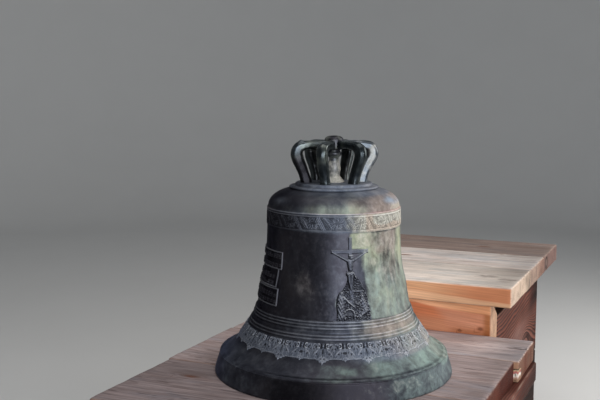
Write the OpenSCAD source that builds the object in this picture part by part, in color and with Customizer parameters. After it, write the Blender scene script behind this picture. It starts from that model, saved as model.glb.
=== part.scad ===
// Bronze bell standing mouth down on a stepped timber stand.
// The row frame has its origin on the floor, under the middle of the stand;
// +Y runs from the low front step to the high back step.
// Shapes of the bell are given about its own axis with z = 0 at the mouth.

/* [Bell] */
// Outside radius of the mouth
mouth_r = 260; // [250:1:270]
// Height from the mouth to the shoulder bead
shoulder_z = 359; // [355:1:362]
// Height of the flat top that carries the crown
head_z = 399; // [396:1:402]
// Thickness of the flat top
head_t = 19; // [14:1:24]
// Distance that the ornament band stands out
band_proud = 2.6; // [1:0.1:4]
// Distance that the mouldings stand out
ring_proud = 1.8; // [1:0.1:3]
// Distance that the skirt frieze stands out
frieze_proud = 1.2; // [0.6:0.1:2]
// Direction of the cross relief about the bell's axis
relief_dir = -54; // [-180:1:180]

/* [Crown] */
// Number of suspension loops
loops = 6; // [6]
// Direction of the first loop about the bell's axis
loop_dir = 35; // [0:1:59]
// Width of one loop
loop_w = 21; // [14:1:22]
// Radius of the post's head
post_head_r = 20.5; // [19:0.5:22]
// Height of the crown above its plate
crown_h = 100; // [95:1:105]

/* [Low step] */
// Height of the low deck above the floor
low_h = 450; // [300:10:700]
// Width of the low deck
low_w = 738; // [700:2:800]
// Depth of the low deck
low_d = 786; // [760:2:820]
// Thickness of the deck planks
plank_t = 50; // [40:1:60]
// Width of the bearer that lies along each side
bearer_w = 190; // [150:5:200]
// Distance that the bearers stand out past the planks
bearer_out = 8; // [0:1:20]

/* [High step] */
// Rise from the low deck to the high deck
step_rise = 132; // [110:1:150]
// Width of the high deck
high_w = 550; // [520:2:600]
// Middle of the high step, to the side of the bell's axis
high_x = 43; // [-60:1:60]
// Thickness of the framing boards
board_t = 76; // [60:1:80]
// Height of the packing strips under the high deck
packer_h = 50; // [30:1:60]

/* [Hidden] */
$fn = 96;
eps = 0.01;

bronze = [0.27, 0.26, 0.23];
pale_wood = [0.74, 0.69, 0.63];
orange_wood = [0.72, 0.42, 0.22];
brown_wood = [0.40, 0.29, 0.25];

// ---- smooth curve through a list of points -------------------------------
function cr(a, b, c, d, t) = 0.5 * ((2 * b) + (c - a) * t
    + (2 * a - 5 * b + 4 * c - d) * t * t + (3 * b - a - 3 * c + d) * t * t * t);
function spline(p, n) = [for (i = [0:len(p) - 2], k = [0:n - 1])
    cr(p[max(i - 1, 0)], p[i], p[i + 1], p[min(i + 2, len(p) - 1)], k / n), p[len(p) - 1]];
function rev(p) = [for (i = [len(p) - 1:-1:0]) p[i]];

// ---- the bell's outline, [radius, height], bottom to top ------------------
lip = [[mouth_r - 2, 0], [mouth_r, 3], [mouth_r - 3, 15], [mouth_r - 8, 30], [mouth_r - 12, 43]];
skirt = [[mouth_r - 12, 43], [240, 46.5], [231, 51], [212, 69], [197, 90], [183, 110],
    [172.5, 130], [166, 150], [162, 172], [157.5, 200], [151.5, 225], [147.3, 255],
    [145, 290], [144, 320], [143, 345], [142.5, shoulder_z]];
dome = [[142.5, shoulder_z], [140, 371], [133, 381], [120, 390.5], [104, 396.5], [90, head_z]];
outline = concat(spline(lip, 3), spline(skirt, 4), spline(dome, 5));
inside = spline([[mouth_r - 15, 0], [222, 28], [196, 62], [174, 98], [155, 135], [144, 180],
    [134.5, 235], [128.5, 300], [126, 345], [117, 367], [100, 376], [74, head_z - head_t]], 5);
z_r = [for (p = outline) [p[1], p[0]]];
// radius of the bell's outside at a height
function wall_r(z) = lookup(z, z_r);

// outline of a raised ring: a strip from za to zb standing out by h, with h a list [z, height]
function strip(za, zb, h) = concat(
    [[wall_r(za), za]], [for (p = outline) if (p[1] > za + 0.02 && p[1] < zb - 0.02) p], [[wall_r(zb), zb]],
    rev([for (q = h) [wall_r(q[0]) + q[1], q[0]]]));
// one round bead's heights from za to zb
function bead(za, zb, base, h) = [for (k = [0:6]) [za + (zb - za) * k / 6, base + h * sin(180 * k / 6)]];

low_front = -low_d / 2;
low_back = low_d / 2;
high_back = 1065;
high_front = 360;
bell_y = -(low_front + high_back) / 2;
riser_y = low_back + 1;
board_x = high_w / 2 - 56;
lside = 262;

module placed() { translate([0, bell_y, low_h]) children(); }
module block(x0, x1, y0, y1, z0, z1) { translate([x0, y0, z0]) cube([x1 - x0, y1 - y0, z1 - z0]); }

// ---- bell -----------------------------------------------------------------
module bell_wall() {
    color(bronze) placed() rotate_extrude($fn = 180)
        polygon(concat(outline, [[0, head_z]], [[0, head_z - head_t]], rev(inside)));
}
module shoulder_band() {
    color(bronze) placed() rotate_extrude($fn = 180) {
        polygon(strip(323, 355, [[323, 0.4], [325, band_proud - 0.5], [328, band_proud], [340, band_proud],
            [351, band_proud], [354, band_proud - 0.6], [355, 0.4]]));
        polygon(strip(357, 360, bead(357, 360, 0.2, 1.4)));
    }
}
module waist_mouldings() {
    color(bronze) placed() rotate_extrude($fn = 180)
        polygon(strip(108, 146, concat(
            [[108, 0.3]], bead(108.4, 113.6, 0.5, ring_proud), bead(114.2, 119.4, 0.5, ring_proud),
            [[121, 0.7]], bead(121.6, 125.2, 0.7, 0.6), [[127.4, 0.7]],
            bead(127.9, 133.1, 0.5, ring_proud), bead(133.8, 139, 0.5, ring_proud),
            bead(139.8, 145, 0.5, ring_proud), [[146, 0.3]])));
}
module skirt_frieze() {
    color(bronze) placed() rotate_extrude($fn = 180)
        polygon(strip(78, 105, [[78, 0.3], [80, frieze_proud], [90, frieze_proud], [100, frieze_proud],
            [104, frieze_proud], [105, 0.3]]));
}
module lip_beads() {
    color(bronze) placed() rotate_extrude($fn = 180)
        polygon(strip(39.5, 48, concat([[39.5, 0.2]], bead(40, 43.6, 0.3, 1.4), bead(44.2, 47.6, 0.3, 1.4), [[48, 0.2]])));
}
// a raised sheet on the bell's outside, cut to shape by its children
module on_wall(za, zb, h, half) {
    intersection() {
        rotate([0, 0, -half]) rotate_extrude(angle = 2 * half, $fn = 180)
            polygon(strip(za, zb, [[za, h], for (p = outline) if (p[1] > za + 0.02 && p[1] < zb - 0.02) [p[1], h], [zb, h]]));
        children();
    }
}
module cross_relief() {
    color(bronze) placed() rotate([0, 0, relief_dir]) union() {
        // cross
        on_wall(146, 313, 3.5, 24) union() {
            block(100, 200, -4.2, 4.2, 146, 313);
            block(100, 200, -41, 41, 279, 287);
            // mound with the figures at the foot
            block(100, 200, -30, 34, 146, 176);
            block(100, 200, -24, 30, 170, 200);
        }
    }
}
module inscription_panel() {
    color(bronze) placed() rotate([0, 0, relief_dir - 90]) on_wall(161, 275, 1.6, 33) union() {
        block(50, 200, -81, 81, 236, 275);
        block(50, 200, -73, 73, 199, 237);
        block(50, 200, -81, 81, 161, 200);
    }
}

// ---- crown ----------------------------------------------------------------
plate_z = head_z + 12;
crown_z = plate_z + crown_h;
module crown_plate() {
    color(bronze) placed() rotate_extrude()
        polygon([[0, head_z], [89, head_z], [95.5, head_z + 0.6], [96.5, head_z + 2.5], [95, head_z + 5.4],
            [83, head_z + 6.4], [83.6, head_z + 9], [82, plate_z], [0, plate_z]]);
}
module crown_post() {
    color(bronze) placed() rotate_extrude($fn = 64)
        polygon(concat([[0, plate_z]], spline([[23, plate_z], [21, plate_z + 4], [16, plate_z + 8], [12, plate_z + 16],
            [14, plate_z + 29], [12.5, plate_z + 40], [10.5, plate_z + 49], [11.5, plate_z + 53]], 3),
            [[15.5, plate_z + 55], [16.2, plate_z + 57.5], [15.5, plate_z + 60], [12.5, plate_z + 62], [13, plate_z + 65],
            [post_head_r - 1, plate_z + 69], [post_head_r, plate_z + 72], [post_head_r, crown_z - 9],
            [post_head_r - 1.5, crown_z - 5], [14, crown_z - 1.5], [0, crown_z]]));
}
loop_out = spline([[71, plate_z], [73.5, plate_z + 14], [80, plate_z + 33], [90, plate_z + 55], [94, plate_z + 69],
    [90, plate_z + 80], [78, plate_z + 88], [60, plate_z + 90], [38, plate_z + 89], [12, plate_z + 88]], 4);
loop_in = spline([[12, plate_z + 71], [34, plate_z + 76], [52, plate_z + 75], [64, plate_z + 68],
    [69, plate_z + 58], [65, plate_z + 44], [56, plate_z + 24], [51, plate_z + 10], [48, plate_z]], 4);
module crown_loop(i) {
    color(bronze) placed() difference() {
        rotate([0, 0, loop_dir + 60 * i]) rotate([90, 0, 0]) translate([0, 0, -loop_w / 2])
            linear_extrude(loop_w) polygon(concat(loop_out, loop_in));
        translate([0, 0, plate_z + 60]) cylinder(h = 60, r = post_head_r, $fn = 64);
    }
}

// ---- low step -------------------------------------------------------------
low_x = low_w / 2;
module low_plank_front() { color(pale_wood) placed() block(-low_x + 6, low_x - 10, low_front, -96, -plank_t, 0); }
module low_plank_middle() { color(pale_wood) placed() block(-low_x, low_x - 11, -94, 203, -plank_t, 0); }
module low_plank_back() { color(pale_wood) placed() block(-low_x + 3, low_x, 205, low_back, -plank_t, 0); }
module low_bearer(s) {
    color(brown_wood) placed() mirror([s < 0 ? 1 : 0, 0, 0])
        block(low_x + bearer_out - bearer_w, low_x + bearer_out, low_front + 14, low_back - 3, -plank_t - 48, -plank_t);
}
low_board_z = -plank_t - 48;
low_split = (low_board_z - low_h) / 2;
module low_front_board(z0, z1) { color(orange_wood) placed() block(-lside, lside, low_front + 34, low_front + 34 + board_t, z0, z1); }
module low_side_board(s, z0, z1) {
    color(brown_wood) placed() mirror([s < 0 ? 1 : 0, 0, 0])
        block(lside - board_t, lside, low_front + 34 + board_t, low_back - 3, z0, z1);
}

// ---- high step ------------------------------------------------------------
high_under = step_rise - plank_t;
side_top = high_under - packer_h;
high_split = -210;
module high_plank(y0, y1, inl, inr) {
    color(pale_wood) placed() block(high_x - high_w / 2 + inl, high_x + high_w / 2 - inr, y0, y1, high_under, step_rise);
}
// front board of the high step, with the bark edge left on its top back corner
module riser_board_top() {
    color(orange_wood) placed() translate([high_x - board_x, 0, 0]) rotate([90, 0, 90])
        linear_extrude(2 * board_x)
            polygon([[riser_y, high_split], [riser_y + board_t, high_split], [riser_y + board_t, high_under - 45],
                [riser_y + board_t - 26, high_under - 26], [riser_y + board_t - 58, high_under - 3],
                [riser_y + board_t - 62, high_under], [riser_y, high_under]]);
}
module riser_board_bottom() {
    color(orange_wood) placed() translate([high_x, 0, 0]) block(-board_x, board_x, riser_y, riser_y + board_t, -low_h, high_split);
}
module high_packer(s) {
    color(brown_wood) placed() translate([high_x, 0, 0]) mirror([s < 0 ? 1 : 0, 0, 0])
        block(board_x - 72, board_x - 22, riser_y + board_t + 4, high_back - board_t, side_top, high_under);
}
module high_side_board(s, z0, z1) {
    color(brown_wood) placed() translate([high_x, 0, 0]) mirror([s < 0 ? 1 : 0, 0, 0])
        block(board_x - board_t, board_x, riser_y + board_t, high_back, z0, z1);
}
module high_back_board(z0, z1) {
    color(orange_wood) placed() translate([high_x, 0, 0])
        block(-board_x + board_t, board_x - board_t, high_back - board_t, high_back, z0, z1);
}

bell_wall();
shoulder_band();
waist_mouldings();
skirt_frieze();
lip_beads();
cross_relief();
inscription_panel();
crown_plate();
crown_post();
crown_loop(0);  // crown_loop_1
crown_loop(1);  // crown_loop_2
crown_loop(2);  // crown_loop_3
crown_loop(3);  // crown_loop_4
crown_loop(4);  // crown_loop_5
crown_loop(5);  // crown_loop_6
low_plank_front();
low_plank_middle();
low_plank_back();
low_bearer(-1);  // low_bearer_left
low_bearer(1);  // low_bearer_right
low_front_board(low_split, low_board_z);  // low_front_board_top
low_front_board(-low_h, low_split);  // low_front_board_bottom
low_side_board(-1, low_split, low_board_z);  // low_side_board_left_top
low_side_board(-1, -low_h, low_split);  // low_side_board_left_bottom
low_side_board(1, low_split, low_board_z);  // low_side_board_right_top
low_side_board(1, -low_h, low_split);  // low_side_board_right_bottom
high_plank(high_front, 616, 0, 0);  // high_plank_front
high_plank(617.5, 827, 4, 0);  // high_plank_middle
high_plank(828.5, high_back, 2, 0);  // high_plank_back
high_packer(-1);  // high_packer_left
high_packer(1);  // high_packer_right
riser_board_top();
riser_board_bottom();
high_side_board(-1, high_split, side_top);  // high_side_board_left_top
high_side_board(-1, -low_h, high_split);  // high_side_board_left_bottom
high_side_board(1, high_split, side_top);  // high_side_board_right_top
high_side_board(1, -low_h, high_split);  // high_side_board_right_bottom
high_back_board(high_split, high_under);  // high_back_board_top
high_back_board(-low_h, high_split);  // high_back_board_bottom
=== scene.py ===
import math

import bmesh
import bpy
import numpy as np
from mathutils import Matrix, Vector


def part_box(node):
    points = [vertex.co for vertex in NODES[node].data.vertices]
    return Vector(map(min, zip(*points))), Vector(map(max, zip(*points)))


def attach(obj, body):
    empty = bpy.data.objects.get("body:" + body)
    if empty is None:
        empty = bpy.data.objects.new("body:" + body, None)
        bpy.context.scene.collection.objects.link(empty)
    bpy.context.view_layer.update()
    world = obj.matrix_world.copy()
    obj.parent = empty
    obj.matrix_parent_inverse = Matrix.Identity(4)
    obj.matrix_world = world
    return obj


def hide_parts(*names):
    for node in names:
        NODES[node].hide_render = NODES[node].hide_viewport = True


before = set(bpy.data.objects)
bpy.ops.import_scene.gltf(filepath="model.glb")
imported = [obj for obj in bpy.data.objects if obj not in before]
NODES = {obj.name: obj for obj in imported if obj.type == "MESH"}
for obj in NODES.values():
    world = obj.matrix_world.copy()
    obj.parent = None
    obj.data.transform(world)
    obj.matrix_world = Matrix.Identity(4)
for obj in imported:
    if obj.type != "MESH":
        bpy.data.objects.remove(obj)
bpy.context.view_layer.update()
scene = bpy.context.scene

# the bell's own axis at the mouth, in the row frame, in metres
BELL = np.array([0.0, -0.336, 0.450])
# directions about the bell's axis: the side seen from the front, and the side the relief is on
FACE = math.radians(-65.6)
RELIEF = math.radians(-54.0)


# ---------------------------------------------------------------- numbers
def spline(pts, n):
    pts = np.array(pts, float)
    out = []
    m = len(pts)
    for i in range(m - 1):
        a, b, c, d = pts[max(i - 1, 0)], pts[i], pts[i + 1], pts[min(i + 2, m - 1)]
        for k in range(n):
            t = k / n
            out.append(0.5 * (2 * b + (c - a) * t + (2 * a - 5 * b + 4 * c - d) * t * t
                              + (3 * b - a - 3 * c + d) * t ** 3))
    out.append(pts[-1])
    return np.array(out)


def sstep(a, b, x):
    t = np.clip((x - a) / (b - a), 0, 1)
    return t * t * (3 - 2 * t)


_rs = np.random.RandomState(7)
_perm = _rs.permutation(256)
_perm = np.concatenate([_perm, _perm, _perm])
_grad = _rs.normal(size=(256, 3))
_grad /= np.linalg.norm(_grad, axis=1)[:, None]


def perlin(p, seed=0):
    """Smooth noise of points p (n, 3), about -0.7 to 0.7."""
    p = np.asarray(p, float) + seed * 17.31
    i = np.floor(p).astype(int)
    f = p - i
    i = i & 255
    w = f * f * f * (f * (f * 6 - 15) + 10)
    out = np.zeros(len(p))
    for dx in (0, 1):
        for dy in (0, 1):
            for dz in (0, 1):
                h = _perm[_perm[_perm[(i[:, 0] + dx) & 255] + ((i[:, 1] + dy) & 255)] + ((i[:, 2] + dz) & 255)]
                g = _grad[h & 255]
                d = (g * (f - np.array([dx, dy, dz]))).sum(1)
                wx = w[:, 0] if dx else 1 - w[:, 0]
                wy = w[:, 1] if dy else 1 - w[:, 1]
                wz = w[:, 2] if dz else 1 - w[:, 2]
                out += d * wx * wy * wz
    return out


def fbm(p, octaves=4, seed=0, gain=0.5):
    out, a, s, tot = 0, 1.0, 1.0, 0
    for o in range(octaves):
        out = out + a * perlin(np.asarray(p) * s, seed + o * 3.7)
        tot += a
        a *= gain
        s *= 2.03
    return out / tot


# ---------------------------------------------------------------- meshes
def make(name, verts, faces, mat, nodes=(), smooth=True, attrs=None, fix=True, sharp=None):
    me = bpy.data.meshes.new(name)
    me.from_pydata(np.asarray(verts, float).tolist(), [], [list(map(int, f)) for f in faces])
    if fix:
        bm = bmesh.new()
        bm.from_mesh(me)
        bmesh.ops.recalc_face_normals(bm, faces=bm.faces)
        bm.to_mesh(me)
        bm.free()
    me.update()
    for key, val in (attrs or {}).items():
        val = np.asarray(val, float)
        if val.ndim == 1:
            a = me.attributes.new(key, "FLOAT", "POINT")
            a.data.foreach_set("value", val.astype(np.float32))
        else:
            a = me.attributes.new(key, "FLOAT_VECTOR", "POINT")
            a.data.foreach_set("vector", val.astype(np.float32).ravel())
    o = bpy.data.objects.new(name, me)
    scene.collection.objects.link(o)
    me.materials.append(mat)
    if smooth:
        me.polygons.foreach_set("use_smooth", [True] * len(me.polygons))
        if sharp is not None:
            me.set_sharp_from_angle(angle=math.radians(sharp))
    if nodes:
        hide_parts(*nodes)
    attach(o, "root")
    return o


def grid_faces(nu, nv, closed_u=False, closed_v=False, start=0):
    """Quads of a grid whose vertex (i, j) has index i * nv + j."""
    iu = np.arange(nu if closed_u else nu - 1)
    jv = np.arange(nv if closed_v else nv - 1)
    I, J = np.meshgrid(iu, jv, indexing="ij")
    I2, J2 = (I + 1) % nu, (J + 1) % nv
    q = np.stack([I * nv + J, I2 * nv + J, I2 * nv + J2, I * nv + J2], -1).reshape(-1, 4)
    return q + start


# ---------------------------------------------------------------- the bell's outline
LIP = [[258, 0], [260, 3], [257, 15], [252, 30], [248, 43]]
SKIRT = [[248, 43], [240, 46.5], [231, 51], [212, 69], [197, 90], [183, 110], [172.5, 130], [166, 150], [162, 172],
         [157.5, 200], [151.5, 225], [147.3, 255], [145, 290], [144, 320], [143, 345], [142.5, 359]]
DOME = [[142.5, 359], [140, 371], [133, 381], [120, 390.5], [104, 396.5], [90, 399]]
INSIDE = [[245, 0], [222, 28], [196, 62], [174, 98], [155, 135], [144, 180], [134.5, 235], [128.5, 300],
          [126, 345], [117, 367], [100, 376], [74, 380]]
outline = np.vstack([spline(LIP, 6)[:-1], spline(SKIRT, 10)[:-1], spline(DOME, 6)])
PLATE_Z = 411.0


def wall_r(z):
    return np.interp(z, outline[:, 1], outline[:, 0])


def wall_n(z):
    """Outward normal (radial, up) of the bell's outside at a height."""
    e = 1.5
    dr = (wall_r(z + e) - wall_r(z - e)) / (2 * e)
    n = np.stack([np.ones_like(dr), -dr], -1)
    return n / np.linalg.norm(n, axis=-1)[..., None]


def on_bell(theta, r, z):
    """Points in the row frame from angle, radius and height in mm about the bell's axis."""
    return np.stack([r * np.cos(theta) / 1000 + BELL[0], r * np.sin(theta) / 1000 + BELL[1],
                     z / 1000 + BELL[2]], -1)


def surf(theta, z, h):
    """Points at height h (mm) over the bell's outside."""
    n = wall_n(z)
    return on_bell(theta, wall_r(z) + n[..., 0] * h, z + n[..., 1] * h)


# where the bronze is green, brown, pale or filmed over
def patina(theta, z):
    """Four masks for points of the bell: green, brown, pale, and a thin blue-grey film."""
    theta, z = np.asarray(theta, float), np.asarray(z, float)
    phi = np.degrees((theta - FACE + math.pi) % (2 * math.pi) - math.pi)
    p = on_bell(theta, wall_r(z), z)
    q = p.copy()
    q[:, 2] *= 0.5
    n1 = fbm(q * 8, 3, 1)
    n2 = fbm(q * 20, 3, 2)
    n3 = fbm(p * 34, 2, 9)
    streak = fbm(np.stack([phi * 0.13, phi * 0.0 + 3, z * 0.007], -1), 3, 5)
    thin = fbm(np.stack([phi * 0.34, phi * 0.0 + 7, z * 0.022], -1), 3, 6)
    aphi = np.abs(phi)
    far = 1 - sstep(92, 132, phi + 26 * n1)
    waist = sstep(143, 147, z) * (1 - sstep(318, 322, z))
    # the green field starts at the upright above the arms, and past the rocks below them
    edge = np.where(z > 288, 13.0, np.interp(z, [150, 200, 240, 285], [26.0, 23.5, 22.0, 20.5])) + 7 * n3 + 3 * n2
    edge = edge + 3.0 * np.exp(-((z - 240) / 16.0) ** 2)
    soft = np.where(z > 288, 1.6, 4.0)
    field = sstep(-soft, soft, phi - edge) * far * waist
    mint = np.clip(0.82 + 0.40 * n1 + 0.40 * n3 + 0.50 * thin, 0, 1)
    dull = np.exp(-((phi - 50 - 26 * n1) / 12.0) ** 2) * sstep(190, 236, z)
    warm = sstep(225, 300, z) * sstep(24, 34, phi)
    g = field * np.clip(mint + 0.04 - 0.34 * dull - 0.14 * warm + 0.20 * n3, 0.12, 1)
    # the back: dull, with a few clouds
    back = sstep(108, 150, aphi) * np.clip(0.20 + 1.0 * n1 + 0.4 * n2, 0, 0.75)
    g = np.maximum(g, back * waist)
    g = np.maximum(g, 0.62 * np.exp(-((phi - 2.0) / 2.6) ** 2) * np.exp(-((z - 178) / 16.0) ** 2))
    mou = sstep(104, 108, z) * (1 - sstep(143, 147, z))
    mg = sstep(-16, 38, phi + 4 * n2) * (1 - sstep(95, 130, phi))
    g = np.maximum(g, mou * mg * np.clip(0.44 + 0.6 * n2 + 0.30 * np.exp(-((phi - 62) / 16.0) ** 2), 0, 0.8))
    skirt = sstep(41, 44, z) * (1 - sstep(104, 108, z))
    sk = sstep(-12, 34, phi + 10 * n2) * (1 - sstep(96, 128, phi)) * skirt
    low_ = 1 - sstep(72, 86, z)
    g = np.maximum(g, sk * np.clip(0.30 + 0.18 * n1 + 0.06 * n3 + 0.24 * np.exp(-((phi - 25) / 10.0) ** 2) * low_ + 0.42 * sstep(32, 54, phi), 0, 0.84))
    lace = sstep(64, 74, z) * (1 - sstep(104, 107, z))
    # painted light: where the skirt turns away to the right it is painted pale mint
    turn = sstep(54, 72, phi) * (1 - sstep(104, 130, phi))      # where the skirt turns away it is pale mint
    g = g * (1 - 0.50 * lace * sk) * (1 - 0.35 * sstep(38, 41, z) * (1 - sstep(47, 50, z)) * (1 - turn))
    g = np.maximum(g, 0.88 * turn * sstep(30, 38, z) * (1 - sstep(64, 74, z)))
    g = np.maximum(g, 0.26 * skirt * (1 - lace) * np.exp(-((phi + 2) / 14.0) ** 2))
    g = np.maximum(g, skirt * sstep(100, 140, aphi) * np.clip(0.2 + n1, 0, 0.7))
    g = np.maximum(g, skirt * 0.42 * np.exp(-((phi - 5) / 9.0) ** 2) * np.exp(-((z - 57) / 8.0) ** 2))
    lipm = 1 - sstep(41, 44, z)
    lipr = sstep(6, 40, phi + 8 * n2) * (1 - sstep(95, 130, phi))
    g = np.maximum(g, lipm * np.clip(-0.08 + 0.16 * n2 + 0.50 * lipr + 0.10 * n3, 0, 0.60))
    g = np.maximum(g, lipm * (1 - lipr) * np.clip(0.9 * n2 + 0.7 * n3 - 0.02, 0, 0.42) * sstep(-80, -60, phi) * (1 - sstep(-24, -8, phi)))
    cream = sstep(4, 24, phi + 6 * n2) * (1 - sstep(50, 76, phi + 10 * n2)) * lipm
    pale = cream * np.clip(0.27 + 0.55 * n2 + 0.15 * n3, 0, 0.46) * sstep(8, 22, z + 14 * n2) * (1 - 0.5 * sstep(36, 42, z))
    pale = np.maximum(pale, field * sstep(286, 292, z) * np.exp(-((phi - 21) / 6.5) ** 2) * 0.60)
    pale = np.maximum(pale, field * np.clip(0.10 + 1.0 * n1 + 0.7 * thin, 0, 0.5) * (1 - sstep(50, 70, phi)) * sstep(205, 262, z))
    pale = np.maximum(pale, turn * sstep(36, 44, z) * (1 - sstep(104, 107, z)) * np.clip(0.34 + 0.5 * n2, 0, 0.5))
    pale = np.maximum(pale, field * 0.62 * np.exp(-((phi - 31) / 5.5) ** 2 - ((z - 259) / 12.0) ** 2))
    dome = sstep(356.5, 359.5, z)
    gd = np.clip(0.62 + 0.26 * n1 + 0.12 * n3 + 0.26 * np.exp(-((phi - 8) / 13.0) ** 2) * (1 - sstep(372, 388, z)), 0, 0.62)
    rim = 1 - sstep(366, 383, z)                     # the dome is greener near its rim, browner above
    g = np.maximum(g, dome * gd * (0.25 + 0.75 * sstep(-34, -8, phi)) * (1 - 0.80 * sstep(16, 40, phi)) * (0.30 + 0.70 * rim))
    band = sstep(318, 323, z) * (1 - sstep(356.5, 359.5, z))
    bandr = sstep(-4, 28, phi + 5 * n3) * (1 - sstep(95, 130, phi))
    g = np.maximum(g, band * bandr * np.clip(0.45 + 0.6 * n3, 0, 1))
    pale = np.maximum(pale, band * bandr * np.clip(0.84 + 0.4 * n2 + 0.4 * sstep(26, 56, phi), 0, 1))
    rust = field * np.clip(0.10 + 1.0 * streak + 0.8 * thin + 0.44 * sstep(262, 306, z) * sstep(22, 34, phi) * (1 - 0.6 * sstep(58, 70, phi)) + 0.30 * dull, 0, 0.85)
    br = 1.15 * np.exp(-((phi - 31) / 6.5) ** 2 - ((z - 303) / 12.0) ** 2) + 1.25 * np.exp(-((phi - 39) / 7.5) ** 2 - ((z - 283) / 12.0) ** 2)
    br = br + 0.8 * np.exp(-((phi - 46) / 7.0) ** 2 - ((z - 304) / 12.0) ** 2) + 0.45 * np.exp(-((phi - 64) / 12.0) ** 2 - ((z - 292) / 18.0) ** 2)
    br = br + 0.5 * np.exp(-((phi - 62) / 12.0) ** 2 - ((z - 236) / 24.0) ** 2)
    br = br + 0.7 * np.exp(-((phi - 42) / 7.0) ** 2 - ((z - 243) / 20.0) ** 2)
    rust = np.maximum(rust, field * np.clip(br * (0.66 + 0.7 * n3 + 0.4 * n2), 0, 0.85))
    foot = (1 - sstep(330, 341, z)) * sstep(24, 32, phi) * (1 - 0.6 * sstep(56, 74, phi)) + 0.9 * np.exp(-((phi - 28.5) / 4.5) ** 2)
    rust = np.maximum(rust, band * bandr * np.clip(0.16 + 1.0 * n2 + 0.5 * streak + 0.85 * foot, 0, 1.0))
    domer = sstep(2, 46, phi + 6 * n3) * (1 - sstep(88, 120, phi))
    rust = np.maximum(rust, dome * np.clip(domer * (0.80 + 0.25 * sstep(26, 60, phi) + 0.15 * n1 + 0.2 * rim), 0, 1) * (1 - 0.5 * sstep(388, 394, z)))
    # painted shade: under the plate the dome is darker again
    high = sstep(381, 391, z)                        # under the plate the dome is dark again
    rust = np.maximum(rust, dome * 0.50 * (1 - 0.6 * high) * np.exp(-((phi - 21) / 15.0) ** 2))
    rust = rust * (1 - dome * 0.34 * high * sstep(16, 34, phi))
    pale = np.maximum(pale, dome * np.clip(sstep(40, 66, phi) * (0.66 + 0.3 * n2) * (0.5 + 0.5 * rim) * (1 - 0.60 * high) * (1 - sstep(90, 120, phi)), 0, 0.66))
    # painted reflection: a soft bluish highlight painted where the dome turns away
    dome_reflection_spot = dome * np.exp(-((phi - 60 - 14 * n2) / 15.0) ** 2) * np.exp(-((z - 380 - 6 * n3) / 8.5) ** 2)
    pale = np.maximum(pale, 0.58 * dome_reflection_spot)
    rust = rust * (1 - 0.65 * dome_reflection_spot)
    rust = np.maximum(rust, mou * sstep(-10, 40, phi) * (1 - sstep(64, 90, phi)) * np.clip(0.55 + 0.7 * n2 + 0.25 * np.exp(-((z - 124) / 6.0) ** 2), 0, 0.85))
    rust = np.maximum(rust, 0.30 * np.exp(-((phi + 24) / 15.0) ** 2) * np.exp(-((z - 212) / 48.0) ** 2))
    rust = np.maximum(rust, skirt * sk * np.clip(0.05 + 0.8 * n2, 0, 0.4))
    rust = np.maximum(rust, lace * sstep(6, 40, phi) * (1 - sstep(92, 120, phi)) * np.clip(0.46 + 0.5 * n2, 0, 0.8))
    # film, partly painted light: hardly any at the left of the waist, band and dome, more towards the middle and right
    # where light falls, and on the ornament; on the skirt and lip it is thinner in the middle than at the sides, and
    # thick at the left as a painted bluish reflection
    side = 0.20 + 0.80 * sstep(-78, 4, phi) * (1 - 0.35 * sstep(96, 140, phi))
    side = np.maximum(side, 0.55 * sstep(100, 150, aphi))
    film = waist * (0.115 + 0.17 * side ** 2.4 + 0.12 * n3 + 0.11 * n1 + 0.42 * np.exp(-((phi - 24) / 4.5) ** 2) * np.exp(-((z - 280) / 22.0) ** 2)
                    + 0.16 * np.exp(-((phi - 21) / 6.0) ** 2) * np.exp(-((z - 235) / 26.0) ** 2))
    film = film + band * (0.15 + 0.69 * side ** 1.8) + mou * (0.15 + 0.40 * side ** 1.5 + 0.2 * n2 + 0.16 * mg)
    film = film + skirt * (0.58 - 0.30 * side + 0.12 * n1 + 0.06 * n3 + 0.26 * sstep(4, 40, phi) * (1 - sstep(95, 130, phi)) + 0.58 * lace * sstep(-6, 34, phi) * (1 - sstep(92, 120, phi))
                            + 0.06 * (1 - lace) * np.exp(-((phi - 2) / 16.0) ** 2) - 0.14 * lace * (1 - sstep(-62, -12, phi)))
    film = film + lipm * (0.66 - 0.66 * side + 0.08 * n3 + 0.66 * lipr + 0.12 * sstep(50, 74, phi) * (1 - sstep(95, 130, phi)))
    film = film + dome * (0.17 + 0.34 * np.exp(-((phi + 2) / 18.0) ** 2) * rim + 0.42 * side ** 1.8 * (0.62 + 0.60 * rim) + 0.16 * n1 + 0.34 * side * sstep(388, 396, z))
    # painted reflections: a bluish sheen on the dome's left, and the bluish highlight spot on its right
    film = film + dome * (0.34 * np.exp(-((phi + 58) / 11.0) ** 2) * np.exp(-((z - 379) / 8.0) ** 2)) + 1.0 * dome_reflection_spot
    film = film + np.exp(-((z - 358.5) / 3.0) ** 2) * 0.2 + dome * 0.30 * high * sstep(10, 40, phi) * (1 - sstep(95, 130, phi))
    return np.stack([np.clip(g, 0, 1), np.clip(rust, 0, 1), np.clip(pale, 0, 1), np.clip(film, 0.02, 1)], -1)


# ---------------------------------------------------------------- materials
def new_mat(name):
    m = bpy.data.materials.new(name)
    m.use_nodes = True
    nt = m.node_tree
    nt.nodes.clear()
    out = nt.nodes.new("ShaderNodeOutputMaterial")
    b = nt.nodes.new("ShaderNodeBsdfPrincipled")
    nt.links.new(b.outputs[0], out.inputs[0])
    return m, nt, b


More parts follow.
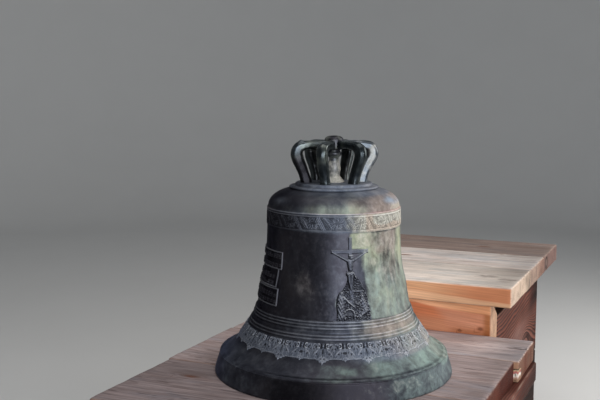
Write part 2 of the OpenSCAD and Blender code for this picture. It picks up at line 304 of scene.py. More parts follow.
class N:
    """Short calls for shader nodes."""

    def __init__(self, nt):
        self.nt = nt

    def node(self, kind, **kw):
        n = self.nt.nodes.new(kind)
        for k, v in kw.items():
            setattr(n, k, v)
        return n

    def link(self, a, b):
        self.nt.links.new(a, b)

    def put(self, sock, val):
        if isinstance(val, bpy.types.NodeSocket):
            self.link(val, sock)
        elif val is not None:
            sock.default_value = val

    def math(self, op, a, b=None, c=None, clamp=False):
        n = self.node("ShaderNodeMath", operation=op, use_clamp=clamp)
        self.put(n.inputs[0], a)
        self.put(n.inputs[1], b)
        self.put(n.inputs[2], c)
        return n.outputs[0]

    def vmath(self, op, a, b=None, scale=None):
        n = self.node("ShaderNodeVectorMath", operation=op)
        self.put(n.inputs[0], a)
        self.put(n.inputs[1], b)
        if scale is not None:
            self.put(n.inputs["Scale"], scale)
        return n.outputs["Value"] if op in ("LENGTH", "DOT_PRODUCT") else n.outputs[0]

    def noise(self, vec, scale, detail=4, rough=0.55, dist=0.0):
        n = self.node("ShaderNodeTexNoise")
        self.put(n.inputs["Vector"], vec)
        n.inputs["Scale"].default_value = scale
        n.inputs["Detail"].default_value = detail
        n.inputs["Roughness"].default_value = rough
        n.inputs["Distortion"].default_value = dist
        return n.outputs["Fac"]

    def voronoi(self, vec, scale, feature="F1", rand=1.0):
        n = self.node("ShaderNodeTexVoronoi", feature=feature)
        self.put(n.inputs["Vector"], vec)
        n.inputs["Scale"].default_value = scale
        n.inputs["Randomness"].default_value = rand
        return n.outputs["Distance"]

    def ramp(self, fac, stops):
        n = self.node("ShaderNodeValToRGB")
        e = n.color_ramp.elements
        while len(e) > 1:
            e.remove(e[-1])
        e[0].position, e[0].color = stops[0][0], (*stops[0][1], 1) if len(stops[0][1]) == 3 else stops[0][1]
        for pos, col in stops[1:]:
            x = e.new(pos)
            x.color = (*col, 1) if len(col) == 3 else col
        self.put(n.inputs[0], fac)
        return n.outputs[0]

    def range(self, v, a, b, c=0.0, d=1.0, smooth=True):
        n = self.node("ShaderNodeMapRange", interpolation_type="SMOOTHSTEP" if smooth else "LINEAR")
        self.put(n.inputs["Value"], v)
        for k, x in (("From Min", a), ("From Max", b), ("To Min", c), ("To Max", d)):
            self.put(n.inputs[k], x)
        return n.outputs[0]

    def mix(self, fac, a, b, blend="MIX"):
        n = self.node("ShaderNodeMix", data_type="RGBA", blend_type=blend)
        self.put(n.inputs[0], fac)
        for s, v in ((6, a), (7, b)):
            if isinstance(v, tuple) and len(v) == 3:
                v = (*v, 1.0)
            self.put(n.inputs[s], v)
        return n.outputs[2]

    def attr(self, name):
        return self.node("ShaderNodeAttribute", attribute_name=name)

    def bump(self, height, strength, dist, normal=None):
        n = self.node("ShaderNodeBump")
        n.inputs["Strength"].default_value = strength
        n.inputs["Distance"].default_value = dist
        self.put(n.inputs["Height"], height)
        self.put(n.inputs["Normal"], normal)
        return n.outputs[0]

    def sep(self, vec):
        n = self.node("ShaderNodeSeparateXYZ")
        self.put(n.inputs[0], vec)
        return n.outputs

    def comb(self, x, y, z):
        n = self.node("ShaderNodeCombineXYZ")
        for s, v in zip(n.inputs, (x, y, z)):
            self.put(s, v)
        return n.outputs[0]


def bronze_material(name, gloss=0.0):
    """Bronze with its patina. gloss, 0 to 1, is how far hands have polished it; None reads it from the mesh, where it
    is lowered on a loop's leg as part of that leg's painted shade.
    """
    m, nt, b = new_mat(name)
    from_mesh = gloss is None
    k = N(nt)
    pos = k.node("ShaderNodeTexCoord").outputs["Object"]
    mask = k.attr("patina").outputs["Vector"]
    g, rust, pale = k.sep(mask)
    film = k.attr("film").outputs["Fac"]
    rel = k.attr("relief").outputs["Fac"]
    if from_mesh:
        gloss = k.attr("gloss").outputs["Fac"]
    x, y, z = k.sep(pos)
    zs = k.math("ADD", k.math("MULTIPLY", z, 0.55), k.math("MULTIPLY", k.math("MINIMUM", z, BELL[2] + 0.108), 0.45))
    tall = k.comb(x, y, zs)
    n_big = k.noise(tall, 13, 4, 0.55, 0.6)
    n_mid = k.noise(tall, 44, 5, 0.60, 0.5)
    n_spot = k.noise(pos, 95, 4, 0.6, 0.4)
    n_fine = k.noise(pos, 230, 4, 0.65)
    n_grain = k.noise(pos, 900, 3, 0.6)
    calm = k.math("MULTIPLY", k.range(z, BELL[2] + 0.357, BELL[2] + 0.361, 1.0, 0.55), k.range(z, BELL[2] + 0.046, BELL[2] + 0.049, 1.0, 0.55))
    calm = k.math("MAXIMUM", calm, k.math("MULTIPLY", k.range(z, BELL[2] + 0.104, BELL[2] + 0.110), k.range(z, BELL[2] + 0.361, BELL[2] + 0.357)))
    mid = k.math("MULTIPLY", k.math("SUBTRACT", n_mid, 0.5), calm)
    big = k.math("SUBTRACT", n_big, 0.5)
    spot = k.math("MULTIPLY", k.math("SUBTRACT", n_spot, 0.5), calm)
    fine = k.math("SUBTRACT", n_fine, 0.5)
    # dark metal, purplish brown to blue black
    base = k.ramp(n_big, [(0.30, (0.0180, 0.0172, 0.0222)), (0.50, (0.0272, 0.0250, 0.0305)), (0.68, (0.0385, 0.0345, 0.0385))])
    base = k.mix(k.range(n_spot, 0.50, 0.72, 0, 0.35), base, (0.058, 0.054, 0.060))
    base = k.mix(gloss, base, k.mix(0.85, base, (0.0125, 0.0205, 0.0225)))
    # thin blue-grey film
    fm = k.math("ADD", film, k.math("MULTIPLY", mid, 0.36))
    fm = k.math("ADD", fm, k.math("MULTIPLY", spot, 0.34))
    fm = k.math("ADD", fm, k.math("MULTIPLY", big, 0.22))
    fm = k.math("MULTIPLY", k.range(fm, 0.02, 1.30), k.range(film, 0.0, 0.12))
    filmc = k.ramp(k.math("ADD", n_mid, k.math("MULTIPLY", fine, 0.5)),
                   [(0.32, (0.074, 0.089, 0.118)), (0.50, (0.118, 0.136, 0.172)), (0.68, (0.182, 0.198, 0.230))])
    # painted reflection: the film is bluer on the bell's left side
    filmc = k.mix(k.range(x, -0.135, -0.235), filmc, k.mix(1.0, filmc, (0.86, 0.98, 1.50), "MULTIPLY"))
    col = k.mix(fm, base, filmc)
    # green, in soft clouds
    gm = k.math("ADD", g, k.math("MULTIPLY", mid, 0.42))
    gm = k.math("ADD", gm, k.math("MULTIPLY", big, 0.28))
    gm = k.math("ADD", gm, k.math("MULTIPLY", spot, 0.30))
    gm = k.math("MULTIPLY", k.range(gm, 0.06, 0.86), k.range(g, 0.01, 0.25))
    tone_ = k.math("ADD", n_mid, k.math("MULTIPLY", big, 0.8))
    tone_ = k.math("ADD", tone_, k.math("MULTIPLY", spot, 0.50))
    tone_ = k.math("ADD", tone_, k.math("MULTIPLY", fine, 0.25))
    green = k.ramp(tone_, [(0.22, (0.110, 0.122, 0.108)), (0.38, (0.168, 0.190, 0.168)), (0.50, (0.218, 0.256, 0.228)),
                           (0.62, (0.262, 0.322, 0.286)), (0.80, (0.345, 0.385, 0.335))])
    # yellower in places and towards the shoulder, and fine runs down the wall
    green = k.mix(k.range(z, BELL[2] + 0.215, BELL[2] + 0.285, 0.0, 0.75), green, k.mix(1.0, green, (1.10, 1.02, 0.84), "MULTIPLY"))
    up = k.range(z, BELL[2] + 0.100, BELL[2] + 0.130)
    yel = k.math("MULTIPLY", k.range(n_big, 0.46, 0.68, 0.0, 0.75), k.range(up, 0.0, 1.0, 0.25, 1.0))
    green = k.mix(yel, green, k.mix(1.0, green, (1.10, 1.00, 0.84), "MULTIPLY"))
    green = k.mix(k.math("SUBTRACT", 1.0, up), green, k.mix(1.0, green, (0.90, 1.01, 1.02), "MULTIPLY"))
    runs = k.noise(k.comb(x, y, k.math("MULTIPLY", z, 0.10)), 75, 4, 0.62)
    runs = k.math("MULTIPLY", k.math("SUBTRACT", runs, 0.5), up)
    green = k.vmath("SCALE", green, scale=k.range(runs, -0.20, 0.20, 0.88, 1.12, smooth=False))
    mid_z = k.math("MULTIPLY", k.range(z, BELL[2] + 0.185, BELL[2] + 0.205), k.range(z, BELL[2] + 0.262, BELL[2] + 0.240))
    green = k.vmath("SCALE", green, scale=k.math("SUBTRACT", 1.0, k.math("MULTIPLY", mid_z, 0.12)))
    far_low = k.math("MULTIPLY", k.range(y, BELL[1] - 0.072, BELL[1] - 0.030), k.range(z, BELL[2] + 0.225, BELL[2] + 0.195))
    green = k.vmath("SCALE", green, scale=k.math("SUBTRACT", 1.0, k.math("MULTIPLY", k.math("MULTIPLY", far_low, up), 0.22)))
    green = k.vmath("SCALE", green, scale=k.range(up, 0.0, 1.0, 0.84, 1.0))
    col = k.mix(k.math("MULTIPLY", gm, 0.94), col, green)
    # brown runs
    rm = k.math("ADD", rust, k.math("MULTIPLY", mid, 0.45))
    rm = k.math("ADD", rm, k.math("MULTIPLY", spot, 0.38))
    rm = k.math("MULTIPLY", k.range(rm, 0.14, 0.95), k.range(rust, 0.01, 0.25))
    rustc = k.ramp(k.math("ADD", n_spot, k.math("MULTIPLY", big, 0.6)),
                   [(0.30, (0.172, 0.136, 0.112)), (0.50, (0.252, 0.205, 0.174)), (0.70, (0.350, 0.300, 0.268))])
    col = k.mix(k.math("MULTIPLY", rm, 0.78), col, rustc)
    # pale mottles
    pm = k.math("ADD", pale, k.math("MULTIPLY", mid, 0.8))
    pm = k.math("ADD", pm, k.math("MULTIPLY", spot, 0.6))
    pm = k.math("MULTIPLY", k.range(pm, 0.20, 0.85), k.range(pale, 0.01, 0.2))
    # painted reflection: a blue patch on the dome's sides, the sky's reflection painted into the pale colour
    sky_reflection = k.math("MULTIPLY", k.range(y, BELL[1] - 0.070, BELL[1] - 0.030), k.range(y, BELL[1] + 0.075, BELL[1] + 0.030))
    sky_reflection = k.math("MULTIPLY", sky_reflection, k.math("MULTIPLY", k.range(z, BELL[2] + 0.367, BELL[2] + 0.377), k.range(z, BELL[2] + 0.396, BELL[2] + 0.388)))
    palec = k.mix(k.range(n_fine, 0.35, 0.65), (0.310, 0.296, 0.242), (0.490, 0.455, 0.385))
    palec = k.mix(sky_reflection, palec, (0.30, 0.37, 0.45))
    col = k.mix(k.math("MULTIPLY", pm, 0.85), col, palec)
    # raised ornament is rubbed grey, its ground keeps dirt; the relief attribute also carries painted highlights and
    # painted shade, which come out here as lighter and darker colour
    dull = k.math("MAXIMUM", k.math("MAXIMUM", gm, rm), pm)
    rub_and_highlight = k.range(k.math("ADD", rel, k.math("MULTIPLY", fine, 0.7)), 0.10, 1.10)
    worn = k.mix(k.range(z, BELL[2] + 0.150, BELL[2] + 0.142), (0.66, 0.64, 0.59), (0.70, 0.705, 0.74))
    bead = k.math("MULTIPLY", k.range(z, BELL[2] + 0.3555, BELL[2] + 0.3565), k.range(z, BELL[2] + 0.3625, BELL[2] + 0.3610))
    worn = k.mix(k.math("MULTIPLY", bead, 0.9), worn, (0.66, 0.555, 0.53))
    rubc = k.mix(dull, k.mix(fm, (0.110, 0.112, 0.125), (0.265, 0.278, 0.310)), worn)
    col = k.mix(k.math("MULTIPLY", rub_and_highlight, 0.74), col, rubc)
    dirt = k.range(k.math("ADD", rel, k.math("MULTIPLY", fine, 0.4)), -0.10, -0.85)
    dirt_and_shade_c = k.mix(dull, (0.0065, 0.0060, 0.0072), (0.092, 0.088, 0.078))
    col = k.mix(k.math("MULTIPLY", dirt, 0.82), col, dirt_and_shade_c)
    # brown stain over the band and, thinner, over the rings
    stain = k.math("MULTIPLY", k.range(z, BELL[2] + 0.320, BELL[2] + 0.324), k.range(z, BELL[2] + 0.357, BELL[2] + 0.355))
    rings = k.math("MULTIPLY", k.range(z, BELL[2] + 0.106, BELL[2] + 0.109), k.range(z, BELL[2] + 0.147, BELL[2] + 0.144))
    stain = k.math("MULTIPLY", k.math("ADD", stain, k.math("MULTIPLY", rings, 0.45)), k.range(rm, 0.10, 0.90))
    col = k.mix(stain, col, k.mix(1.0, col, (0.94, 0.835, 0.79), "MULTIPLY"))
    col = k.mix(k.math("MULTIPLY", bead, k.range(y, BELL[1] - 0.125, BELL[1] - 0.075)), col, k.mix(1.0, col, (1.04, 0.89, 0.87), "MULTIPLY"))
    # painted highlights: where the relief runs past 1.15, mostly on the cross's edges that face up, the colour turns
    # pale grey
    col = k.mix(k.math("MULTIPLY", k.range(rel, 1.15, 2.2), 0.80), col, (0.40, 0.41, 0.44))
    dome_ = k.math("MULTIPLY", k.range(z, BELL[2] + 0.3605, BELL[2] + 0.364), k.range(rm, 0.05, 0.7))
    col = k.mix(k.math("MULTIPLY", dome_, 0.4), col, k.mix(1.0, col, (1.05, 0.95, 0.88), "MULTIPLY"))
    k.link(col, b.inputs["Base Color"])
    cover = k.math("MAXIMUM", dull, k.math("MULTIPLY", fm, 0.9))
    cover = k.math("MAXIMUM", cover, k.math("MULTIPLY", rub_and_highlight, 0.55))
    k.link(k.range(cover, 0.0, 0.9, 0.92, 0.04), b.inputs["Metallic"])
    rough = k.math("ADD", k.range(dull, 0, 1, 0.44, 0.66), k.math("MULTIPLY", fine, 0.30))
    rough = k.math("ADD", rough, k.math("MULTIPLY", fm, 0.06))
    rough = k.math("ADD", rough, k.math("MULTIPLY", big, 0.20))
    k.link(k.math("MAXIMUM", k.math("SUBTRACT", rough, k.math("MULTIPLY", gloss, 0.14)), 0.2), b.inputs["Roughness"])
    h = k.math("ADD", k.math("MULTIPLY", n_mid, 0.8), k.math("MULTIPLY", n_fine, 0.35))
    h = k.math("ADD", h, k.math("MULTIPLY", n_grain, 0.10))
    k.link(k.bump(h, 0.45, 0.0009), b.inputs["Normal"])
    if from_mesh:
        k.link(k.range(gloss, 0, 1, 0.40, 0.75, smooth=False), b.inputs["Specular IOR Level"])
        k.link(k.mix(gloss, (0.30, 0.31, 0.36), (0.88, 0.98, 1.0)), b.inputs["Specular Tint"])
    else:
        b.inputs["Specular IOR Level"].default_value = 0.40 + 0.35 * gloss
        b.inputs["Specular Tint"].default_value = [p + (q - p) * gloss for p, q in zip((0.30, 0.31, 0.36), (0.88, 0.98, 1.0))] + [1.0]
    if from_mesh or gloss > 0:
        k.link(k.math("MULTIPLY", gloss, k.range(dull, 0.1, 0.6, 0.35, 0.0)), b.inputs["Coat Weight"])
        b.inputs["Coat Roughness"].default_value = 0.24
    return m


BRONZE = bronze_material("patinated_bronze")
HANDLED = bronze_material("patinated_bronze_handled", 0.9)
SHADE_DULLED = bronze_material("patinated_bronze_shade_dulled", None)


# ---------------------------------------------------------------- bell pieces
def revolve(name, prof, nth, mat, nodes, wobble=0.0, seed=0, closed=False, relief=0.0, looks=None):
    """Revolves [radius, height] points, in mm about the bell's axis."""
    prof = np.asarray(prof, float)
    th = np.arange(nth) * 2 * math.pi / nth
    body = prof
    first_pole, last_pole = prof[0, 0] < 1e-6, prof[-1, 0] < 1e-6
    if first_pole:
        body = body[1:]
    if last_pole:
        body = body[:-1]
    T, J = np.meshgrid(th, np.arange(len(body)), indexing="ij")
    r, z = body[J, 0], body[J, 1]
    P = on_bell(T, r, z).reshape(-1, 3)
    if wobble:
        d = fbm(P * 14, 3, seed) * wobble / 1000
        d += fbm(P * 55, 2, seed + 4) * wobble * 0.35 / 1000
        # push along the radius only, inwards
        d = -np.abs(d)
        ct = np.stack([np.cos(T).ravel(), np.sin(T).ravel(), np.zeros(T.size)], -1)
        P = P + ct * d[:, None]
    F = [list(f) for f in grid_faces(nth, len(body), closed_u=True, closed_v=closed)]
    V = list(P)
    m = len(body)
    tt, zz = list(T.ravel()), list(z.ravel())
    if first_pole:
        c = len(V)
        V.append(on_bell(np.array(0.0), np.array(0.0), np.array(prof[0, 1])))
        tt.append(0)
        zz.append(prof[0, 1])
        F += [[((i + 1) % nth) * m, i * m, c] for i in range(nth)]
    if last_pole:
        c = len(V)
        V.append(on_bell(np.array(0.0), np.array(0.0), np.array(prof[-1, 1])))
        tt.append(0)
        zz.append(prof[-1, 1])
        F += [[i * m + m - 1, ((i + 1) % nth) * m + m - 1, c] for i in range(nth)]
    V, tt, zz = np.array(V), np.array(tt), np.array(zz)
    pat = patina(tt, np.clip(zz, 0, 399))
    if looks is not None:
        pat = looks(V, pat)
    rel = relief(tt, zz) if callable(relief) else np.full(len(V), relief)
    return make(name, V, F, mat, nodes,
                attrs={"patina": pat[:, :3], "film": pat[:, 3], "relief": rel}, sharp=40)


wall_prof = np.vstack([[[0, 399]], outline[::-1], [[252, 0.0]], spline(INSIDE, 2), [[0, 380]]])


def lip_shade_and_ring_dark(th, z):
    """Painted shade: the lip is darkest in the middle of the front. The wall is also darker just under each ring."""
    phi = np.degrees((th - FACE + math.pi) % (2 * math.pi) - math.pi)
    lip = (1 - sstep(38, 44, z)) * sstep(-48, -22, phi) * (1 - sstep(6, 30, phi))
    under = np.exp(-((z - 321) / 2.2) ** 2) + np.exp(-((z - 147) / 1.6) ** 2) + 0.7 * np.exp(-((z - 106.5) / 1.4) ** 2)
    return -0.62 * lip - 0.40 * under


revolve("bell_wall_cast", wall_prof, 260, BRONZE, ["bell_wall"], wobble=0.35, seed=3, relief=lip_shade_and_ring_dark)


def ring(name, za, zb, hfun, nth, nz, nodes, back=-1.6, film=0.0):
    """A raised ring with its own relief: hfun(theta, z) gives mm over the wall, and below 0 it is hidden in it."""
    th = np.arange(nth) * 2 * math.pi / nth
    zs = np.linspace(za, zb, nz)
    T, Z = np.meshgrid(th, zs, indexing="ij")
    H, rel = hfun(T, Z)
    edge = np.minimum(np.arange(nz), np.arange(nz)[::-1])[None, :]
    H = np.where(edge == 0, -0.6, H)
    front = surf(T, Z, H)
    zb2 = np.linspace(zb, za, 4)
    T2, Z2 = np.meshgrid(th, zb2, indexing="ij")
    rear = surf(T2, Z2, np.full_like(Z2, back))
    P = np.concatenate([front, rear], axis=1)
    n = P.shape[1]
    pat = patina(np.concatenate([T, T2], 1).ravel(), np.concatenate([Z, Z2], 1).ravel())
    rr = np.concatenate([rel, np.zeros_like(T2)], 1).ravel()
    pat[:, 3] = np.clip(pat[:, 3] + film, 0, 1)
    return make(name, P.reshape(-1, 3), grid_faces(nth, n, True, True), BRONZE, nodes,
                attrs={"patina": pat[:, :3], "film": pat[:, 3], "relief": rr})


def bump1(x, a, b):
    """A round bead between a and b, 0 to 1."""
    t = np.clip((x - a) / (b - a), 0, 1)
    return np.sqrt(np.clip(1 - (2 * t - 1) ** 2, 0, 1))


def capsule(u, v, a, b, ra, rb=None):
    """Height 0 to 1 of a rounded bar from a to b."""
    rb = ra if rb is None else rb
    a, b = np.array(a, float), np.array(b, float)
    d = b - a
    L = max(float(d @ d), 1e-9)
    t = np.clip(((u - a[0]) * d[0] + (v - a[1]) * d[1]) / L, 0, 1)
    r = ra + (rb - ra) * t
    q = np.hypot(u - a[0] - t * d[0], v - a[1] - t * d[1]) / r
    return np.sqrt(np.clip(1 - q * q, 0, 1))


def ellipse(u, v, c, ru, rv, ang=0.0):
    ca, sa = math.cos(ang), math.sin(ang)
    x, y = u - c[0], v - c[1]
    X, Y = (x * ca + y * sa) / ru, (-x * sa + y * ca) / rv
    return np.sqrt(np.clip(1 - X * X - Y * Y, 0, 1))


def arc(u, v, c, r, w, a0, a1):
    """A curved bar: part of a circle of radius r and half width w, from angle a0 to a1 in degrees."""
    x, y = u - c[0], v - c[1]
    rad = np.hypot(x, y)
    ang = np.degrees(np.arctan2(y, x))
    mid, half = (a0 + a1) / 2, (a1 - a0) / 2
    d = (ang - mid + 180) % 360 - 180
    over = np.clip(np.abs(d) - half, 0, 360) * math.pi / 180 * r
    q = np.hypot(rad - r, over) / w
    return np.sqrt(np.clip(1 - q * q, 0, 1))


# ornament band: bundles of slanting rods, a ribbed leaf and small scrolls, between two fillets
BAND_N = 18
BAND_U = 2 * math.pi / BAND_N * 146.0          # length of one unit in mm


def band_unit(x, v):
    """Height 0 to 1 of the ornament; x along the band in mm, v up from its middle."""
    h = np.zeros_like(x)
    for off in (-BAND_U, 0.0, BAND_U):
        X = x - off
        # three rods
        for s, w in ((-3.9, 0.75), (-0.6, 0.95), (2.8, 0.75)):
            h = np.maximum(h, capsule(X - s, v, (-7.0, 12.6), (6.6, -12.6), w))
        # ribbed leaf: a spine that sweeps down to the right with thin lobes on both sides
        L = X - 14.0
        spine = ((-8.6, 11.6), (-4.0, 8.4), (0.6, 3.6), (4.6, -2.4), (8.2, -9.8))
        for a, b in zip(spine[:-1], spine[1:]):
            h = np.maximum(h, capsule(L, v, a, b, 0.95))
        for i in range(9):
            t = i / 8
            bx = np.interp(t, (0, 0.25, 0.5, 0.75, 1), [q[0] for q in spine])
            by = np.interp(t, (0, 0.25, 0.5, 0.75, 1), [q[1] for q in spine])
            ln = 7.6 * math.sin(math.pi * (0.18 + 0.66 * t))
            h = np.maximum(h, 0.85 * capsule(L, v, (bx, by), (bx - ln * 0.50, by - ln * 0.85), 0.95, 0.6))
            h = np.maximum(h, 0.80 * capsule(L, v, (bx, by), (bx + ln * 0.92, by + ln * 0.12), 0.90, 0.6))
        # scrolls
        c = X - 33.5
        for cx, cz, r0, a0 in ((-3.0, 6.2, 4.6, -30), (4.6, -4.8, 4.6, 150)):
            h = np.maximum(h, arc(c, v, (cx, cz), r0, 0.75, a0, a0 + 270))
            h = np.maximum(h, arc(c, v, (cx, cz), r0 * 0.45, 0.65, a0 + 90, a0 + 330))
            for j in range(5):
                a = math.radians(a0 + 20 + j * 55)
                px, py = cx + r0 * math.cos(a), cz + r0 * math.sin(a)
                h = np.maximum(h, 0.8 * capsule(c, v, (px, py), (px + 3.0 * math.cos(a + 0.7), py + 3.0 * math.sin(a + 0.7)), 0.85, 0.5))
        for ax, ay, bx, by in ((-7.5, -10.6, -3.6, -3.4), (-10.4, -5.6, -5.0, -2.0), (-3.0, -11.6, -0.6, -5.6),
                               (8.6, 10.6, 5.4, 3.4), (11.6, 5.0, 6.4, 2.2), (3.6, 11.6, 2.6, 5.6), (13.0, -0.6, 8.8, -1.4)):
            h = np.maximum(h, 0.85 * capsule(c, v, (ax, ay), (bx, by), 1.15, 0.7))
    return h


def band_relief(T, Z):
    per = 2 * math.pi / BAND_N
    x = ((T - FACE - math.radians(7.5)) % per) / per * BAND_U
    v = Z - 339.4
    q = np.stack([T.ravel() * 30, Z.ravel() * 0.22, T.ravel() * 0], -1)
    wx, wv = perlin(q, 21).reshape(T.shape), perlin(q, 22).reshape(T.shape)
    orn = band_unit(x + 1.3 * wx, v + 1.3 * wv)
    inside = sstep(-13.9, -12.9, v) * (1 - sstep(12.9, 13.9, v))
    edge_b = bump1(Z, 323.3, 326.0)
    edge_t = bump1(Z, 352.4, 355.3)
    ground = 0.7 * sstep(323.2, 324.2, Z) * (1 - sstep(354.6, 355.2, Z))
    q = np.stack([T.ravel() * 70, Z.ravel() * 0.5, T.ravel() * 0], -1)
    n1 = perlin(q, 3).reshape(T.shape)
    n2 = perlin(q * 2.3, 6).reshape(T.shape)
    orn = orn * np.clip(0.80 + 0.7 * n1, 0.35, 1.1)
    h = ground + (1.35 * orn + 0.25 * n2) * inside + 1.0 * np.maximum(edge_b, edge_t)
    rel = np.where(inside > 0.5, orn * 1.50 - 0.58 + 0.5 * n2, 0.85 * np.maximum(edge_b * 0.6, edge_t))
    return h, rel


ring("shoulder_band_relief", 322.6, 355.8, band_relief, 1240, 48, ["shoulder_band"])


def bead_ring(name, za, zb, beads, base, nodes=(), nz=26, nth=240, bright=1.0, dark=1.0):
    def f(T, Z):
        h = np.full_like(Z, base)
        crest = np.full_like(Z, -0.25)
        n1 = perlin(np.stack([T.ravel() * 9, Z.ravel() * 0.25, T.ravel() * 0], -1), 17).reshape(T.shape)
        for a, b, t in beads:
            k = bump1(Z, a, b)
            h = np.maximum(h, base + t * k)
            crest = np.maximum(crest, np.where(k > 0, -0.55 + 1.45 * k ** 3 * min(t / 1.6, 1.0), -0.25))
        gap = np.full_like(Z, 1.0)
        for a, b, t in beads:
            gap = np.minimum(gap, 1 - bump1(Z, a - 0.3, b + 0.3))
        phi = np.degrees((T - FACE + math.pi) % (2 * math.pi) - math.pi)
        soft = 1 - 0.45 * sstep(8, 36, phi) * (1 - sstep(100, 140, phi))
        rel = crest * bright * (0.4 + 0.6 * soft) - 0.25 * (gap > 0.9)
        rel = np.where(rel < 0, rel * dark * soft, rel) + 0.35 * n1
        return h, rel
    return ring(name, za, zb, f, nth, nz, nodes)


bead_ring("shoulder_bead", 356.0, 360.8, [(356.4, 360.3, 2.0)], -0.2, nz=14, nth=260, bright=1.35, dark=0.1)
bead_ring("waist_mouldings_turned", 107.6, 146.2,
          [(108.4, 113.6, 1.9), (114.2, 119.4, 1.9), (121.6, 125.2, 0.8), (127.9, 133.1, 1.9), (133.8, 139.0, 1.9),
           (139.8, 145.0, 1.9)], 0.35, ["waist_mouldings"], nz=92, bright=0.85, dark=0.8)
bead_ring("lip_beads_turned", 40.4, 47.4, [(41.0, 43.4, 0.75), (44.8, 47.0, 0.75)], 0.05, ["lip_beads"], nz=34, bright=0.22, dark=0.6)


